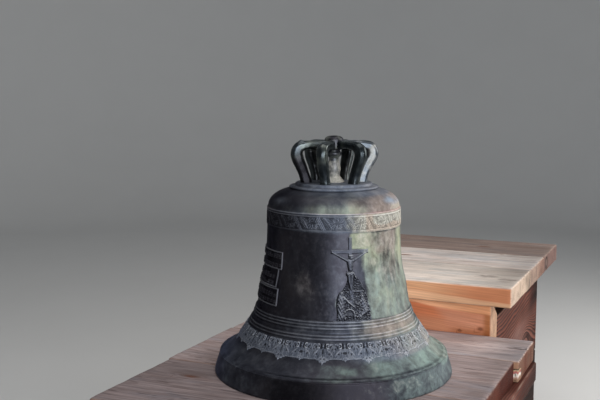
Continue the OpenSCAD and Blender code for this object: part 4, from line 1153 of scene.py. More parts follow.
# ---------------------------------------------------------------- timber
def timber_material():
    m, nt, b = new_mat("sawn_timber")
    k = N(nt)
    gr = k.attr("grain").outputs["Vector"]           # along, and two across from the pith, in metres
    sap = k.attr("sapwood").outputs["Vector"]        # colour of the young wood
    heart = k.attr("heartwood").outputs["Vector"]    # colour of the wood inside the heart's radius
    heart_r, ringc, grey = k.sep(k.attr("look").outputs["Vector"])     # heart's radius, ring contrast, weathering
    endg, dirt, wear = k.sep(k.attr("face").outputs["Vector"])         # end grain, dirt, rubbed edges
    ka, kb, kr = k.sep(k.attr("knot").outputs["Vector"])               # place from the nearest knot, and its radius
    L, A, B = k.sep(gr)
    slow = k.comb(k.math("MULTIPLY", L, 2.2), k.math("MULTIPLY", A, 9), k.math("MULTIPLY", B, 9))
    wob = k.noise(slow, 1.0, 3, 0.5)
    mid = k.comb(k.math("MULTIPLY", L, 7), k.math("MULTIPLY", A, 40), k.math("MULTIPLY", B, 40))
    wob2 = k.noise(mid, 1.0, 3, 0.5)
    kd = k.math("SQRT", k.math("ADD", k.math("MULTIPLY", ka, ka), k.math("MULTIPLY", kb, kb)))
    flow = k.math("MULTIPLY", kr, k.math("EXPONENT", k.math("MULTIPLY", k.math("MULTIPLY", kd, kd), -0.22)))
    rad = k.math("SQRT", k.math("ADD", k.math("MULTIPLY", A, A), k.math("MULTIPLY", B, B)))
    rad = k.math("ADD", rad, k.math("MULTIPLY", k.math("SUBTRACT", wob, 0.5), 0.042))
    rad = k.math("ADD", rad, k.math("MULTIPLY", k.math("SUBTRACT", wob2, 0.5), 0.006))
    radk = k.math("ADD", rad, k.math("MULTIPLY", flow, 1.7))
    # growth rings, about 5 mm, wider in some years
    yr = k.noise(k.comb(0.0, k.math("MULTIPLY", radk, 26), 0.0), 1.0, 2, 0.5)
    ph = k.math("ADD", k.math("MULTIPLY", radk, 190), k.math("MULTIPLY", yr, 1.1))
    saw = k.math("FRACT", ph)
    late = k.math("MULTIPLY", k.range(saw, 0.34, 0.82), k.range(saw, 1.0, 0.93))
    early = k.math("MULTIPLY", k.range(saw, 0.0, 0.10), k.range(saw, 0.42, 0.14))
    # fibres
    fib_v = k.comb(k.math("MULTIPLY", L, 14), k.math("MULTIPLY", A, 900), k.math("MULTIPLY", B, 900))
    fib = k.noise(fib_v, 1.0, 3, 0.65)
    fib_v2 = k.comb(k.math("MULTIPLY", L, 5), k.math("MULTIPLY", A, 240), k.math("MULTIPLY", B, 240))
    fib2 = k.noise(fib_v2, 1.0, 4, 0.6)
    fib_v3 = k.comb(k.math("MULTIPLY", L, 3.2), k.math("MULTIPLY", A, 90), k.math("MULTIPLY", B, 90))
    fib3 = k.noise(fib_v3, 1.0, 3, 0.55)
    blot = k.noise(slow, 2.6, 5, 0.6)
    # the heart's edge is sharp and a little wavy
    hw = k.range(k.math("SUBTRACT", heart_r, k.math("ADD", rad, k.math("MULTIPLY", flow, 1.0))), -0.0025, 0.0025)
    col = k.mix(hw, sap, heart)
    # a redder seam where the heart ends
    edge = k.range(k.math("ABSOLUTE", k.math("SUBTRACT", heart_r, rad)), 0.006, 0.001)
    col = k.mix(k.math("MULTIPLY", k.math("MULTIPLY", edge, 0.22), k.math("SUBTRACT", 1.0, grey)), col, k.mix(1.0, col, (0.62, 0.42, 0.36), "MULTIPLY"))
    lc = k.mix(1.0, col, (0.18, 0.09, 0.075), "MULTIPLY")
    col = k.mix(k.math("MULTIPLY", late, ringc), col, lc)
    col = k.mix(k.math("MULTIPLY", k.math("MULTIPLY", early, ringc), 0.35), col, k.mix(1.0, col, (1.45, 1.55, 1.6), "MULTIPLY"))
    # streaks and fibres
    v = k.range(fib2, 0.26, 0.74, 0.72, 1.28, smooth=False)
    v = k.math("MULTIPLY", v, k.range(blot, 0.25, 0.75, 0.86, 1.14, smooth=False))
    v = k.math("MULTIPLY", v, k.range(fib3, 0.28, 0.72, 0.85, 1.15, smooth=False))
    v = k.math("MULTIPLY", v, k.range(fib, 0.30, 0.70, 0.90, 1.08, smooth=False))
    v = k.math("ADD", 1.0, k.math("MULTIPLY", k.math("SUBTRACT", v, 1.0), k.range(grey, 0.0, 0.7, 0.55, 1.05)))
    col = k.vmath("SCALE", col, scale=v)
    # weathering: fine dark cracks along the grain and blue-grey water stains
    ck = k.noise(k.comb(k.math("MULTIPLY", L, 13.0), k.math("MULTIPLY", A, 150), k.math("MULTIPLY", B, 150)), 1.0, 3, 0.6)
    ckm = k.math("MULTIPLY", k.range(ck, 0.56, 0.63), k.range(fib3, 0.42, 0.56))
    ckm = k.math("MULTIPLY", ckm, grey)
    col = k.mix(k.math("MULTIPLY", ckm, 0.70), col, k.mix(1.0, col, (0.38, 0.34, 0.34), "MULTIPLY"))
    st = k.noise(k.comb(k.math("MULTIPLY", L, 5.0), k.math("MULTIPLY", A, 22), k.math("MULTIPLY", B, 22)), 1.0, 4, 0.6)
    stain = k.math("MULTIPLY", k.range(st, 0.50, 0.66), grey)
    col = k.mix(k.math("MULTIPLY", stain, 0.55), col, k.mix(1.0, col, (0.72, 0.84, 0.95), "MULTIPLY"))
    st2 = k.math("MULTIPLY", k.range(st, 0.46, 0.32), grey)
    col = k.mix(k.math("MULTIPLY", st2, 0.45), col, k.mix(1.0, col, (0.86, 0.74, 0.68), "MULTIPLY"))
    # end grain: short dark pores and saw marks
    eg = k.noise(k.comb(k.math("MULTIPLY", A, 520), k.math("MULTIPLY", B, 520), 0.0), 1.0, 3, 0.6)
    col = k.mix(k.math("MULTIPLY", k.math("MULTIPLY", k.range(eg, 0.50, 0.66), endg), 0.45), col, k.mix(1.0, col, (0.52, 0.44, 0.40), "MULTIPLY"))
    eb = k.noise(k.comb(k.math("MULTIPLY", A, 24), k.math("MULTIPLY", B, 24), 3.0), 1.0, 4, 0.6)
    col = k.mix(k.math("MULTIPLY", k.math("MULTIPLY", k.range(eb, 0.48, 0.66), endg), 0.55), col, k.mix(1.0, col, (0.55, 0.52, 0.52), "MULTIPLY"))
    # knots
    core = k.range(k.math("ADD", kd, k.math("MULTIPLY", k.math("SUBTRACT", wob2, 0.5), 1.2)), 1.10, 0.55)
    halo = k.range(kd, 1.75, 0.95)
    kring = k.math("MULTIPLY", k.range(k.math("FRACT", k.math("MULTIPLY", kd, 3.0)), 0.55, 0.95), 0.6)
    col = k.mix(k.math("MULTIPLY", halo, 0.45), col, k.mix(1.0, col, (0.55, 0.38, 0.30), "MULTIPLY"))
    kc = k.mix(kring, (0.165, 0.062, 0.032), (0.060, 0.020, 0.012))
    col = k.mix(k.math("MULTIPLY", core, 0.66), col, kc)
    # dirt and rubbed edges
    dm = k.math("MULTIPLY", dirt, k.range(k.noise(mid, 0.8, 4, 0.6), 0.30, 0.65, 0.35, 1.0))
    col = k.mix(k.math("MINIMUM", dm, 0.97), col, (0.022, 0.013, 0.010))
    wm = k.math("MULTIPLY", wear, k.range(k.noise(mid, 1.6, 3, 0.6), 0.36, 0.60))
    col = k.mix(k.math("MULTIPLY", wm, 0.85), col, k.mix(0.5, k.mix(1.0, col, (1.9, 1.9, 1.9), "MULTIPLY"), (0.60, 0.47, 0.37)))
    k.link(col, b.inputs["Base Color"])
    k.link(k.math("ADD", k.range(fib2, 0.2, 0.8, 0.60, 0.78), k.math("MULTIPLY", late, -0.08)), b.inputs["Roughness"])
    h = k.math("ADD", k.math("MULTIPLY", fib, 0.50), k.math("MULTIPLY", fib2, 0.55))
    h = k.math("ADD", h, k.math("MULTIPLY", k.math("MULTIPLY", late, ringc), 0.45))
    h = k.math("ADD", h, k.math("MULTIPLY", ckm, -0.9))
    k.link(k.bump(h, 0.55, 0.0012), b.inputs["Normal"])
    b.inputs["Specular IOR Level"].default_value = 0.08
    return m


TIMBER = timber_material()
# places on the timber are given in mm about the bell's axis at its mouth
OFF = BELL * 1000


def stops(a, b, r, step, extra=()):
    n = max(2, int(round((b - a - 2 * r) / step)))
    mid = np.linspace(a + r, b - r, n + 1)
    if len(extra):
        ex = np.array(sorted(extra), float)
        gap = np.abs(mid[:, None] - ex[None, :]).min(1)
        keep = (gap > 0.9) | (np.arange(len(mid)) == 0) | (np.arange(len(mid)) == len(mid) - 1)
        mid = np.unique(np.concatenate([mid[keep], ex[(ex > a + r + 0.3) & (ex < b - r - 0.3)]]))
    return np.concatenate([[a, a + r * 0.13, a + r * 0.42], mid, [b - r * 0.42, b - r * 0.13, b]])


SIDES = ("x-", "x+", "y-", "y+", "z-", "z+")


def coat(w, cols, default):
    """Colour of points from the weight of each side (n, 6) and a colour for each side."""
    out = np.zeros((len(w), 3))
    for i, sname in enumerate(SIDES):
        c = cols.get(sname, default)
        c = np.asarray(c, float)
        out += w[:, i:i + 1] * (c if c.ndim == 2 else c[None, :])
    return out


def timber(name, node, along, pith, heart_r, paint, seed, r=4.0, step=9.0, tilt=(0.0, 0.0), rough=0.5, shape=None,
           bend=None, knots=(), extra=None, dent=None, ring_mm=5.3):
    """A sawn board in the place of its CAD node. along is the grain's axis (0 x, 1 y), pith where the heart runs
    (the two other axes, in mm from the board's middle), heart_r the heartwood's radius in mm."""
    lo, hi = (np.array(v) * 1000 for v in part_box(node))
    ex = extra or {}
    S = [stops(lo[i], hi[i], r, step if i == along else step * (1.0 if hi[i] - lo[i] > 100 else 0.6),
               [v + OFF[i] for v in ex.get(i, ())]) for i in range(3)]
    n = [len(q) for q in S]
    I = np.stack(np.meshgrid(*[np.arange(x) for x in n], indexing="ij"), -1)
    on = np.zeros(n, bool)
    for a in range(3):
        on |= (I[..., a] == 0) | (I[..., a] == n[a] - 1)
    idx = -np.ones(n, int)
    idx[on] = np.arange(on.sum())
    P = np.stack([S[a][I[..., a]] for a in range(3)], -1)[on]
    F = []
    for a in range(3):
        for side in (0, n[a] - 1):
            sl = [slice(None)] * 3
            sl[a] = side
            g = idx[tuple(sl)]
            q = np.stack([g[:-1, :-1], g[1:, :-1], g[1:, 1:], g[:-1, 1:]], -1).reshape(-1, 4)
            F.append(q)
    F = np.concatenate(F)
    # round the edges: pull towards the shrunken box
    C = np.clip(P, lo + r, hi - r)
    D = P - C
    dist = np.linalg.norm(D, axis=1)
    En = D / np.maximum(dist, 1e-9)[:, None]
    m_inf = np.abs(D).max(1)
    Q = C + En * m_inf[:, None]
    w = np.zeros((len(P), 6))
    for a in range(3):
        w[:, 2 * a] = np.where(En[:, a] < 0, En[:, a] ** 2, 0)
        w[:, 2 * a + 1] = np.where(En[:, a] > 0, En[:, a] ** 2, 0)
    # sawn surface: low waves, fibres raised along the grain, and chipped edges; all of it inwards
    g = P.copy() / 1000
    g[:, along] *= 0.16
    wav = np.abs(fbm(g * 11, 3, seed)) * 1.6 * rough + np.abs(fbm(g * 60, 2, seed + 9)) * 0.9 * rough
    e = np.clip((np.sort(np.abs(D), axis=1)[:, 1] / r - 0.10) / 0.5, 0, 1)
    g2 = P / 1000
    chip = e * np.clip(fbm(g2 * 26, 3, seed + 5) + 0.10, 0, 1) * 7.0 * rough
    Q = Q - En * (wav + chip)[:, None]
    R = P - OFF                                      # nominal places about the bell's axis, before the surface is worn
    sapw, hrt, ringc, grey, dirt, wear = paint(R, w, e)
    if dent is not None:
        depth, dark = dent(R, w)
        Q = Q - En * depth[:, None]
        dirt = np.maximum(dirt, dark)
    if shape is not None:
        Q = shape(Q, w)
    mid = (lo + hi) / 2
    oth = [a for a in range(3) if a != along]
    al = Q[:, along] - mid[along]
    u = Q[:, oth[0]] - mid[oth[0]] - pith[0] - tilt[0] * al
    v = Q[:, oth[1]] - mid[oth[1]] - pith[1] - tilt[1] * al
    if bend is not None:
        du, dv = bend(R)
        u, v = u + du, v + dv
    fine = 5.3 / ring_mm
    grain = np.stack([al + seed * 371.0, u * fine, v * fine], -1) / 1000
    kn = np.tile([9.0, 9.0, 0.0], (len(Q), 1))
    best = np.full(len(Q), 3.6)
    for c, ra, rb in knots:
        d = R - np.asarray(c, float)
        k1, k2 = d[:, along] / ra, (d[:, oth[0]] + d[:, oth[1]]) / rb
        k3 = np.hypot(d[:, oth[0]], d[:, oth[1]]) / rb
        kdv = np.hypot(k1, k3)
        hit = kdv < best
        kn[hit] = np.stack([k1, k2, np.full(len(Q), rb / 1000)], -1)[hit]
        best = np.minimum(best, kdv)
    endm = w[:, 2 * along] + w[:, 2 * along + 1]
    one = np.ones(len(Q))
    return make(name, Q / 1000, F, TIMBER, [node], attrs={
        "grain": grain, "sapwood": sapw, "heartwood": hrt, "look": np.stack([one * heart_r / 1000, ringc * one, grey * one], -1),
        "face": np.stack([endm, np.clip(dirt * one, 0, 1), np.clip(wear * one, 0, 1)], -1), "knot": kn}, sharp=50)


def board_paint(cols, hearts=None, default=(0.30, 0.18, 0.12), ring=0.5, ring_side=None, grey=0.0, grey_top=None, dirt=0.06,
                wear=0.35, vary=0.10, seed=0, wash=None):
    """Makes a board's painter from a colour for each side. wash changes the result where a board has its own marks, and
    where painted light or shade is put on it.
    """
    def f(R, w, e):
        sapw = coat(w, cols, default)
        hrt = coat(w, {**cols, **(hearts or {})}, default)
        nz = fbm(R / 1000 * 5.5, 3, seed + 60)
        nz2 = fbm(R / 1000 * 15 * np.array([0.35, 0.8, 1.0]), 2, seed + 63)
        f_ = (1 + vary * (2.2 * nz + 1.4 * nz2))[:, None]
        sapw, hrt = sapw * f_, hrt * f_
        rc = np.full(len(R), float(ring))
        for i, sname in enumerate(SIDES):
            if ring_side and sname in ring_side:
                rc = rc + w[:, i] * (ring_side[sname] - ring)
        top = w[:, 5]
        gr_ = grey + ((grey if grey_top is None else grey_top) - grey) * top
        dr = dirt + 0.16 * e + 0.10 * w[:, 4]
        we = wear * e
        if wash is not None:
            sapw, hrt, rc, gr_, dr, we = wash(R, w, e, sapw, hrt, rc, gr_, dr, we)
        return sapw, hrt, rc, gr_, dr, we
    return f


def scale_on(mask, col, f):
    """Multiplies colours by f (three factors) where mask is 1."""
    return col * (1 + mask[:, None] * (np.asarray(f, float)[None, :] - 1))


def lay(mask, col, c):
    """Paints colour c over col where mask is 1."""
    return col + mask[:, None] * (np.asarray(c, float)[None, :] - col)


def spot(R, c, rad):
    """Soft round mask about a point; rad gives the three half widths."""
    return np.exp(-(((R - np.asarray(c, float)) / np.asarray(rad, float)) ** 2).sum(1))


BROWN = (0.120, 0.060, 0.047)


# low deck -------------------------------------------------
def wash_low_back(R, w, e, sapw, hrt, rc, gr_, dr, we):
    x, y, z = R.T
    top, end = w[:, 5], w[:, 1]
    f = 1 + 0.16 * (1 - sstep(60, 200, x)) - 0.30 * sstep(255, 345, x)
    for c in (sapw, hrt):
        c *= (1 + top * (f - 1))[:, None]
    sapw, hrt = scale_on(top * sstep(250, 340, x), sapw, (0.90, 0.92, 0.93)), scale_on(top * sstep(250, 340, x), hrt, (0.90, 0.92, 0.93))
    # dark streak from (270, 14) to (355, 39), and end marks
    d = np.abs((R[:, 1] - 0) - 205 - 0.0)
    line = np.exp(-((y - (230 + (x - 250) * 0.20)) / 8.0) ** 2) * sstep(240, 280, x) * top
    dr = dr + 0.42 * line
    red = end * (np.exp(-((y - 285) / 22.0) ** 2) + 0.8 * np.exp(-((y - 352) / 12.0) ** 2))
    sapw, hrt = scale_on(red, sapw, (0.72, 0.50, 0.46)), scale_on(red, hrt, (0.72, 0.50, 0.46))
    we = we + 0.6 * e * (w[:, 1] > 0.05) * (w[:, 5] > 0.05)
    # torn corner: layers of broken wood under a split
    near = sstep(346, 351, x) * (1 - sstep(222, 238, y)) * np.clip(w[:, 2] + w[:, 1] + w[:, 4], 0, 1)
    wv = 1.2 * np.sin(x * 0.55 + y * 0.2)
    for za, zb, c in ((6, -18, (0.310, 0.170, 0.105)), (-20.4, -22.6, (0.520, 0.410, 0.230)), (-23, -30, (0.400, 0.145, 0.120)),
                      (-30, -36.5, (0.800, 0.720, 0.620)), (-36.5, -40, (0.520, 0.360, 0.290)), (-40, -53, (0.320, 0.190, 0.120))):
        m = near * sstep(za + wv + 0.8, za + wv - 0.8, z) * sstep(zb + wv - 0.8, zb + wv + 0.8, z)
        if za > 0:
            m = m * w[:, 2]
        sapw, hrt = lay(m, sapw, c), lay(m, hrt, c)
        dr = dr * (1 - m)
        we = we * (1 - m)
    rc = rc * (1 - near)
    return sapw, hrt, rc, gr_, dr, we


def dent_low_back(R, w):
    x, y, z = R.T
    top, front = w[:, 5], w[:, 2]
    wig = 1.2 * np.sin(x * 0.21) + 0.8 * np.sin(x * 0.47 + 1)
    crack = top * np.exp(-((y - 314 - wig) / 5.5) ** 2) * sstep(312, 330, x)
    crack = np.maximum(crack, w[:, 1] * np.exp(-((y - 316) / 2.0) ** 2) * sstep(-16, -4, z))
    depth, dark = 3.5 * crack, 0.95 * crack
    side_ = np.clip(front + w[:, 1] * (1 - sstep(214, 232, y)), 0, 1)
    slot_ = side_ * np.exp(-((z + 19.2) / 1.1) ** 2) * sstep(347, 351, x)
    hole1 = front * np.exp(-((z + 32.5) / 2.6) ** 2 - ((x - 359.8) / 2.6) ** 2)
    hole2 = side_ * np.exp(-((z + 33) / 2.4) ** 2 - ((x - 367.0) / 2.0) ** 2 - ((y - 205) / 7.0) ** 2)
    hole3 = front * np.exp(-((z + 48) / 2.2) ** 2 - ((x - 360) / 2.4) ** 2)
    rag = side_ * sstep(348, 352, x) * sstep(-23, -27, z) * (0.5 + np.abs(perlin(R * 0.23, 5)))
    depth = depth + 3.0 * slot_ + 5.0 * np.maximum(np.maximum(hole1, hole2), hole3) + 2.2 * rag
    dark = np.maximum(dark, np.clip(1.6 * (slot_ + hole1 + hole2 + hole3), 0, 1))
    return depth, dark


def wash_low_mid(R, w, e, sapw, hrt, rc, gr_, dr, we):
    x, y, z = R.T
    top, end = w[:, 5], w[:, 1]
    f = 1 - 0.26 * sstep(240, 340, x) + 0.10 * (1 - sstep(60, 160, x))
    f = f * (1 - 0.12 * sstep(60, -60, y))
    for c in (sapw, hrt):
        c *= (1 + top * (f - 1))[:, None]
    n = fbm(R / 1000 * np.array([3, 14, 40]), 2, 77)
    dk = end * sstep(20, 80, y)
    sapw, hrt = scale_on(dk, sapw, (0.62, 0.45, 0.42)), scale_on(dk, hrt, (0.62, 0.45, 0.42))
    we = we + 0.7 * end * (1 - sstep(-10, 30, y)) * sstep(-26, -8, z) * np.clip(0.25 + 1.6 * n, 0, 1)
    we = we * 0.5
    return sapw, hrt, rc, gr_, dr, we


def wash_low_front(R, w, e, sapw, hrt, rc, gr_, dr, we):
    x, y, z = R.T
    top, end = w[:, 5], w[:, 1]
    n = fbm(R / 1000 * np.array([3, 9, 40]), 2, 78)
    f = 1 + 0.25 * n - 0.16 * sstep(250, 350, x)
    for c in (sapw, hrt):
        c *= (1 + top * (f - 1))[:, None]
    we = 0.5 * we + 0.8 * end * sstep(-30, -6, z) * np.clip(0.10 + 1.8 * n, 0, 1)
    return sapw, hrt, rc, gr_, dr, we


SAWN = {"y-": (0.27, 0.150, 0.105), "y+": (0.27, 0.150, 0.105), "z-": (0.26, 0.160, 0.115)}
timber("low_plank_back_sawn", "low_plank_back", 0, (20, -260), 90,
       board_paint({"z+": (0.505, 0.414, 0.398), "x+": (0.182, 0.088, 0.058), "x-": (0.190, 0.108, 0.085), "y-": (0.22, 0.115, 0.080), "y+": (0.27, 0.15, 0.105),
                    "z-": (0.26, 0.16, 0.115)}, ring=0.35, ring_side={"z+": 0.16}, grey=0.25, grey_top=0.9, wear=0.5, seed=3, wash=wash_low_back),
       3, tilt=(0.02, -0.02), knots=[((-120, 250, 0), 20, 7)],
       extra={0: [347, 350, 353, 356, 357.5, 359, 360.4, 361.8, 363.2, 364.6, 366, 367], 1: [210, 212, 214, 217, 220, 224, 228, 232, 236, 305, 308, 311, 314, 317, 320, 323],
              2: [-15, -17, -18, -19, -20, -21, -22.2, -23.5, -25, -27, -29, -30.5, -32, -33.5, -35, -36.5, -38, -39.5, -41, -43, -45]}, dent=dent_low_back)
timber("low_plank_middle_sawn", "low_plank_middle", 0, (-40, -240), 60,
       board_paint({"z+": (0.400, 0.318, 0.306), "x+": (0.104, 0.026, 0.014), "x-": (0.150, 0.078, 0.058), **SAWN},
                   ring=0.35, ring_side={"z+": 0.18}, grey=0.25, grey_top=1.0, wear=0.45, seed=2, wash=wash_low_mid),
       2, tilt=(-0.03, 0.02), knots=[((-210, 120, 0), 20, 7)])
timber("low_plank_front_sawn", "low_plank_front", 0, (30, -260), 60,
       board_paint({"z+": (0.262, 0.208, 0.203), "x+": (0.135, 0.055, 0.036), "x-": (0.150, 0.075, 0.052), **SAWN},
                   ring=0.35, ring_side={"z+": 0.20}, grey=0.3, grey_top=1.0, wear=0.55, seed=1, wash=wash_low_front),
       1, tilt=(0.02, 0.01), knots=[((212, -168, 0), 15, 9), ((-250, -190, 0), 18, 7)])


# high deck ------------------------------------------------
def wash_high_front(R, w, e, sapw, hrt, rc, gr_, dr, we):
    x, y, z = R.T
    top, end, front = w[:, 5], w[:, 1], w[:, 2]
    # painted light: the top is pale along the front edge, palest at the left as a painted patch of sunlight, and greyer
    # to the right and behind
    f = 1 - 0.38 * sstep(120, 300, x) * (1 - 0.25 * sstep(30, 0, y - 360)) - 0.22 * sstep(430, 610, y)
    n = fbm(R / 1000 * np.array([3, 16, 40]), 3, 71)
    f = f * (1 + 0.35 * n * sstep(400, 470, y))
    for c in (sapw, hrt):
        c *= (1 + top * (f - 1))[:, None]
    # painted light: the front face is lighter at the left, and its heart paler there
    g = 1.14 - 0.40 * sstep(0, 330, x)
    for c in (sapw, hrt):
        c *= (1 + front * (g - 1))[:, None]
    hrt = scale_on(front * (1 - sstep(90, 250, x)), hrt, (1.12, 1.48, 1.62))
    # painted shade: the end darkens backwards; it also has grey blotches
    fe = 1 - 0.42 * sstep(520, 616, y)
    bl = spot(R, (318, 555, 117), (40, 16, 12)) + spot(R, (318, 600, 98), (40, 12, 18)) + 0.6 * spot(R, (318, 470, 108), (40, 8, 20))
    fe = fe * (1 - 0.45 * np.clip(bl, 0, 1))
    for c in (sapw, hrt):
        c *= (1 + end * (fe - 1))[:, None]
    rc = rc * (1 - 0.3 * end)
    we = we + 0.8 * e * (w[:, 2] > 0.05) * (w[:, 5] > 0.05) + 0.5 * e * (w[:, 1] > 0.05)
    return sapw, hrt, rc, gr_, dr, we


def dent_high_front(R, w):
    x, y, z = R.T
    top = w[:, 5]
    c1 = np.exp(-((y - (466 + (x - 290) * 0.06) - 2.4 * np.sin(x * 0.25)) / 8.5) ** 2) * sstep(258, 272, x) * (1 - sstep(306, 318, x))
    c2 = np.exp(-((y - (491 + (x - 224) * 0.10) - 2.2 * np.sin(x * 0.3)) / 8.0) ** 2) * sstep(200, 216, x) * (1 - sstep(244, 262, x))
    c3 = np.exp(-((y - 425 - 0.05 * x) / 7.0) ** 2) * sstep(262, 276, x) * (1 - sstep(300, 312, x))
    c4 = np.exp(-((y - 528 + 0.04 * x) / 8.0) ** 2) * sstep(150, 166, x) * (1 - sstep(196, 214, x))
    c = top * np.maximum(np.maximum(c1, 0.8 * c2), 0.5 * np.maximum(c3, c4))
    return 2.4 * c, 0.78 * c


def wash_high_mid(R, w, e, sapw, hrt, rc, gr_, dr, we):
    x, y, z = R.T
    top, end = w[:, 5], w[:, 1]
    n = fbm(R / 1000 * np.array([3, 16, 40]), 3, 72)
    f = 1.12 - 0.34 * sstep(140, 300, x) - 0.12 * sstep(640, 820, y) + 0.40 * n
    for c in (sapw, hrt):
        c *= (1 + top * (f - 1))[:, None]
    line = np.exp(-((y - (774 + (x - 183) * 0.646)) / 7.0) ** 2) * sstep(176, 190, x) * (1 - sstep(278, 292, x)) * top
    dr = dr + 0.48 * line
    bl = spot(R, (318, 638, 107), (40, 12, 16)) + 0.7 * spot(R, (318, 790, 100), (40, 26, 18))
    # painted shade: the end darkens and turns pinker towards the back
    end_back_shade = end * sstep(690, 800, y)
    for q in range(2):
        c = (sapw, hrt)[q]
        c *= (1 + end * (-0.42 * np.clip(bl, 0, 1)))[:, None]
    sapw, hrt = scale_on(end_back_shade, sapw, (0.80, 0.66, 0.64)), scale_on(end_back_shade, hrt, (0.80, 0.66, 0.64))
    return sapw, hrt, rc, gr_, dr, we


def wash_high_back(R, w, e, sapw, hrt, rc, gr_, dr, we):
    x, y, z = R.T
    top, end = w[:, 5], w[:, 1]
    n = fbm(R / 1000 * np.array([3, 16, 40]), 3, 73)
    f = 1.0 - 0.10 * sstep(880, 1060, y) + 0.5 * n
    for c in (sapw, hrt):
        c *= (1 + top * (f - 1))[:, None]
    # an oval heart at the end, dark, with pinkish wood beyond it
    d = np.hypot((y - 869) / 19.0, (z - 108) / 17.0)
    oval = end * np.exp(-((d - 0.92) / 0.20) ** 2)
    core = end * np.exp(-(d / 0.5) ** 2)
    sapw, hrt = scale_on(np.clip(1.3 * oval, 0, 1), sapw, (0.09, 0.07, 0.05)), scale_on(np.clip(1.3 * oval, 0, 1), hrt, (0.09, 0.07, 0.05))
    sapw, hrt = scale_on(core, sapw, (0.95, 1.15, 1.15)), scale_on(core, hrt, (0.95, 1.15, 1.15))
    return sapw, hrt, rc, gr_, dr, we


timber("high_plank_front_sawn", "high_plank_front", 0, (-128, 62), 60,
       board_paint({"z+": (0.800, 0.700, 0.620), "y-": (0.780, 0.440, 0.250), "x+": (0.620, 0.470, 0.360), "x-": (0.500, 0.385, 0.300),
                    "y+": (0.45, 0.25, 0.15), "z-": (0.45, 0.28, 0.18)},
                   {"y-": (0.640, 0.250, 0.120)}, ring=0.15, ring_side={"z+": 0.08, "x+": 0.18, "y-": 0.07}, grey=0.0, grey_top=0.75,
                   wear=0.45, seed=4, wash=wash_high_front),
       4, tilt=(0.0, -0.045), knots=[((-130, 540, 132), 20, 7)],
       extra={1: [448, 452, 456, 460, 463, 466, 469, 472, 484, 487, 490, 493, 496, 510, 514, 518]}, dent=dent_high_front)
timber("high_plank_middle_sawn", "high_plank_middle", 0, (10, -230), 70,
       board_paint({"z+": (0.590, 0.520, 0.480), "x+": (0.360, 0.255, 0.200), "x-": (0.340, 0.240, 0.190), "y-": (0.4, 0.24, 0.15),
                    "y+": (0.4, 0.24, 0.15), "z-": (0.42, 0.27, 0.18)}, ring=0.25, ring_side={"z+": 0.14}, grey_top=0.9, wear=0.45, seed=5,
                   wash=wash_high_mid),
       5, tilt=(0.02, 0.02), knots=[((199, 812, 132), 6, 3.6), ((-60, 700, 132), 20, 7)])
timber("high_plank_back_sawn", "high_plank_back", 0, (-78, 0), 40,
       board_paint({"z+": (0.260, 0.196, 0.170), "x+": (0.205, 0.128, 0.110), "x-": (0.205, 0.128, 0.110), "y-": (0.3, 0.18, 0.13),
                    "y+": (0.26, 0.16, 0.12), "z-": (0.36, 0.23, 0.16)}, ring=0.3, ring_side={"z+": 0.18}, grey_top=0.95, wear=0.4, seed=6,
                   wash=wash_high_back),
       6, tilt=(0.0, 0.0), knots=[((120, 930, 132), 20, 7)], extra={1: [845, 848, 851, 854, 857, 860, 863, 866, 869, 872, 875, 878, 881, 884, 887, 890]})


# the riser and its bark edge -------------------------------
def wane(Q, w):
    y, z = Q[:, 1] - OFF[1], Q[:, 2] - OFF[2]
    ztop = np.interp(y, [394, 408, 412, 420, 444, 470], [82, 82, 79, 73, 56, 37])
    low_ = np.maximum(z - ztop, 0)
    rough_ = np.where(low_ > 0.5, np.abs(fbm(Q / 1000 * 30, 3, 15)) * 5, 0)
    out = Q.copy()
    out[:, 2] = np.where(low_ > 0, ztop - rough_, z) + OFF[2]
    return out


def wash_riser(R, w, e, sapw, hrt, rc, gr_, dr, we):
    x, y, z = R.T
    front = w[:, 2]
    n = fbm(R / 1000 * np.array([7, 30, 26]), 3, 74)
    n2 = fbm(R / 1000 * np.array([16, 30, 60]), 3, 75)
    # light board above, fading to the right
    sapw = scale_on(front * sstep(90, 260, x), sapw, (0.70, 0.62, 0.56))
    # saturated orange at the left of a flame, pinkish figure at the right, amber and dark near the end
    flame = 138 + np.interp(z, [-20, 4, 25, 38, 60], [30, 22, 11, 0, -20])
    left = front * (1 - sstep(-16, 16, x - flame - 8 * n))
    right = front * sstep(-16, 16, x - flame - 8 * n)
    hrt = scale_on(left, hrt, (0.98, 0.94, 0.90))
    hrt = scale_on(left * (1 - sstep(20, 44, z)), hrt, (0.95, 1.22, 1.45))
    hrt = scale_on(right, hrt, (0.92, 1.10, 1.30))
    fig = right * np.clip(0.5 + 2.0 * n2, 0, 1)
    hrt = scale_on(fig, hrt, (1.10, 1.22, 1.32))
    low_ = right * (1 - sstep(2, 22, z - 10 * n2))
    hrt = scale_on(low_, hrt, (0.72, 0.62, 0.50))
    edge = front * sstep(236, 254, x)
    hrt = scale_on(edge, hrt, (0.62, 0.52, 0.34))
    # the waned back edge is bark brown, painted darker still as painted shade in the gap under the deck
    wn = w[:, 5] * sstep(408, 414, y) + w[:, 3]
    sapw, hrt = scale_on(wn, sapw, (0.10, 0.07, 0.06)), scale_on(wn, hrt, (0.10, 0.07, 0.06))
    return sapw, hrt, rc, gr_, dr * (1 - 0.7 * front), we


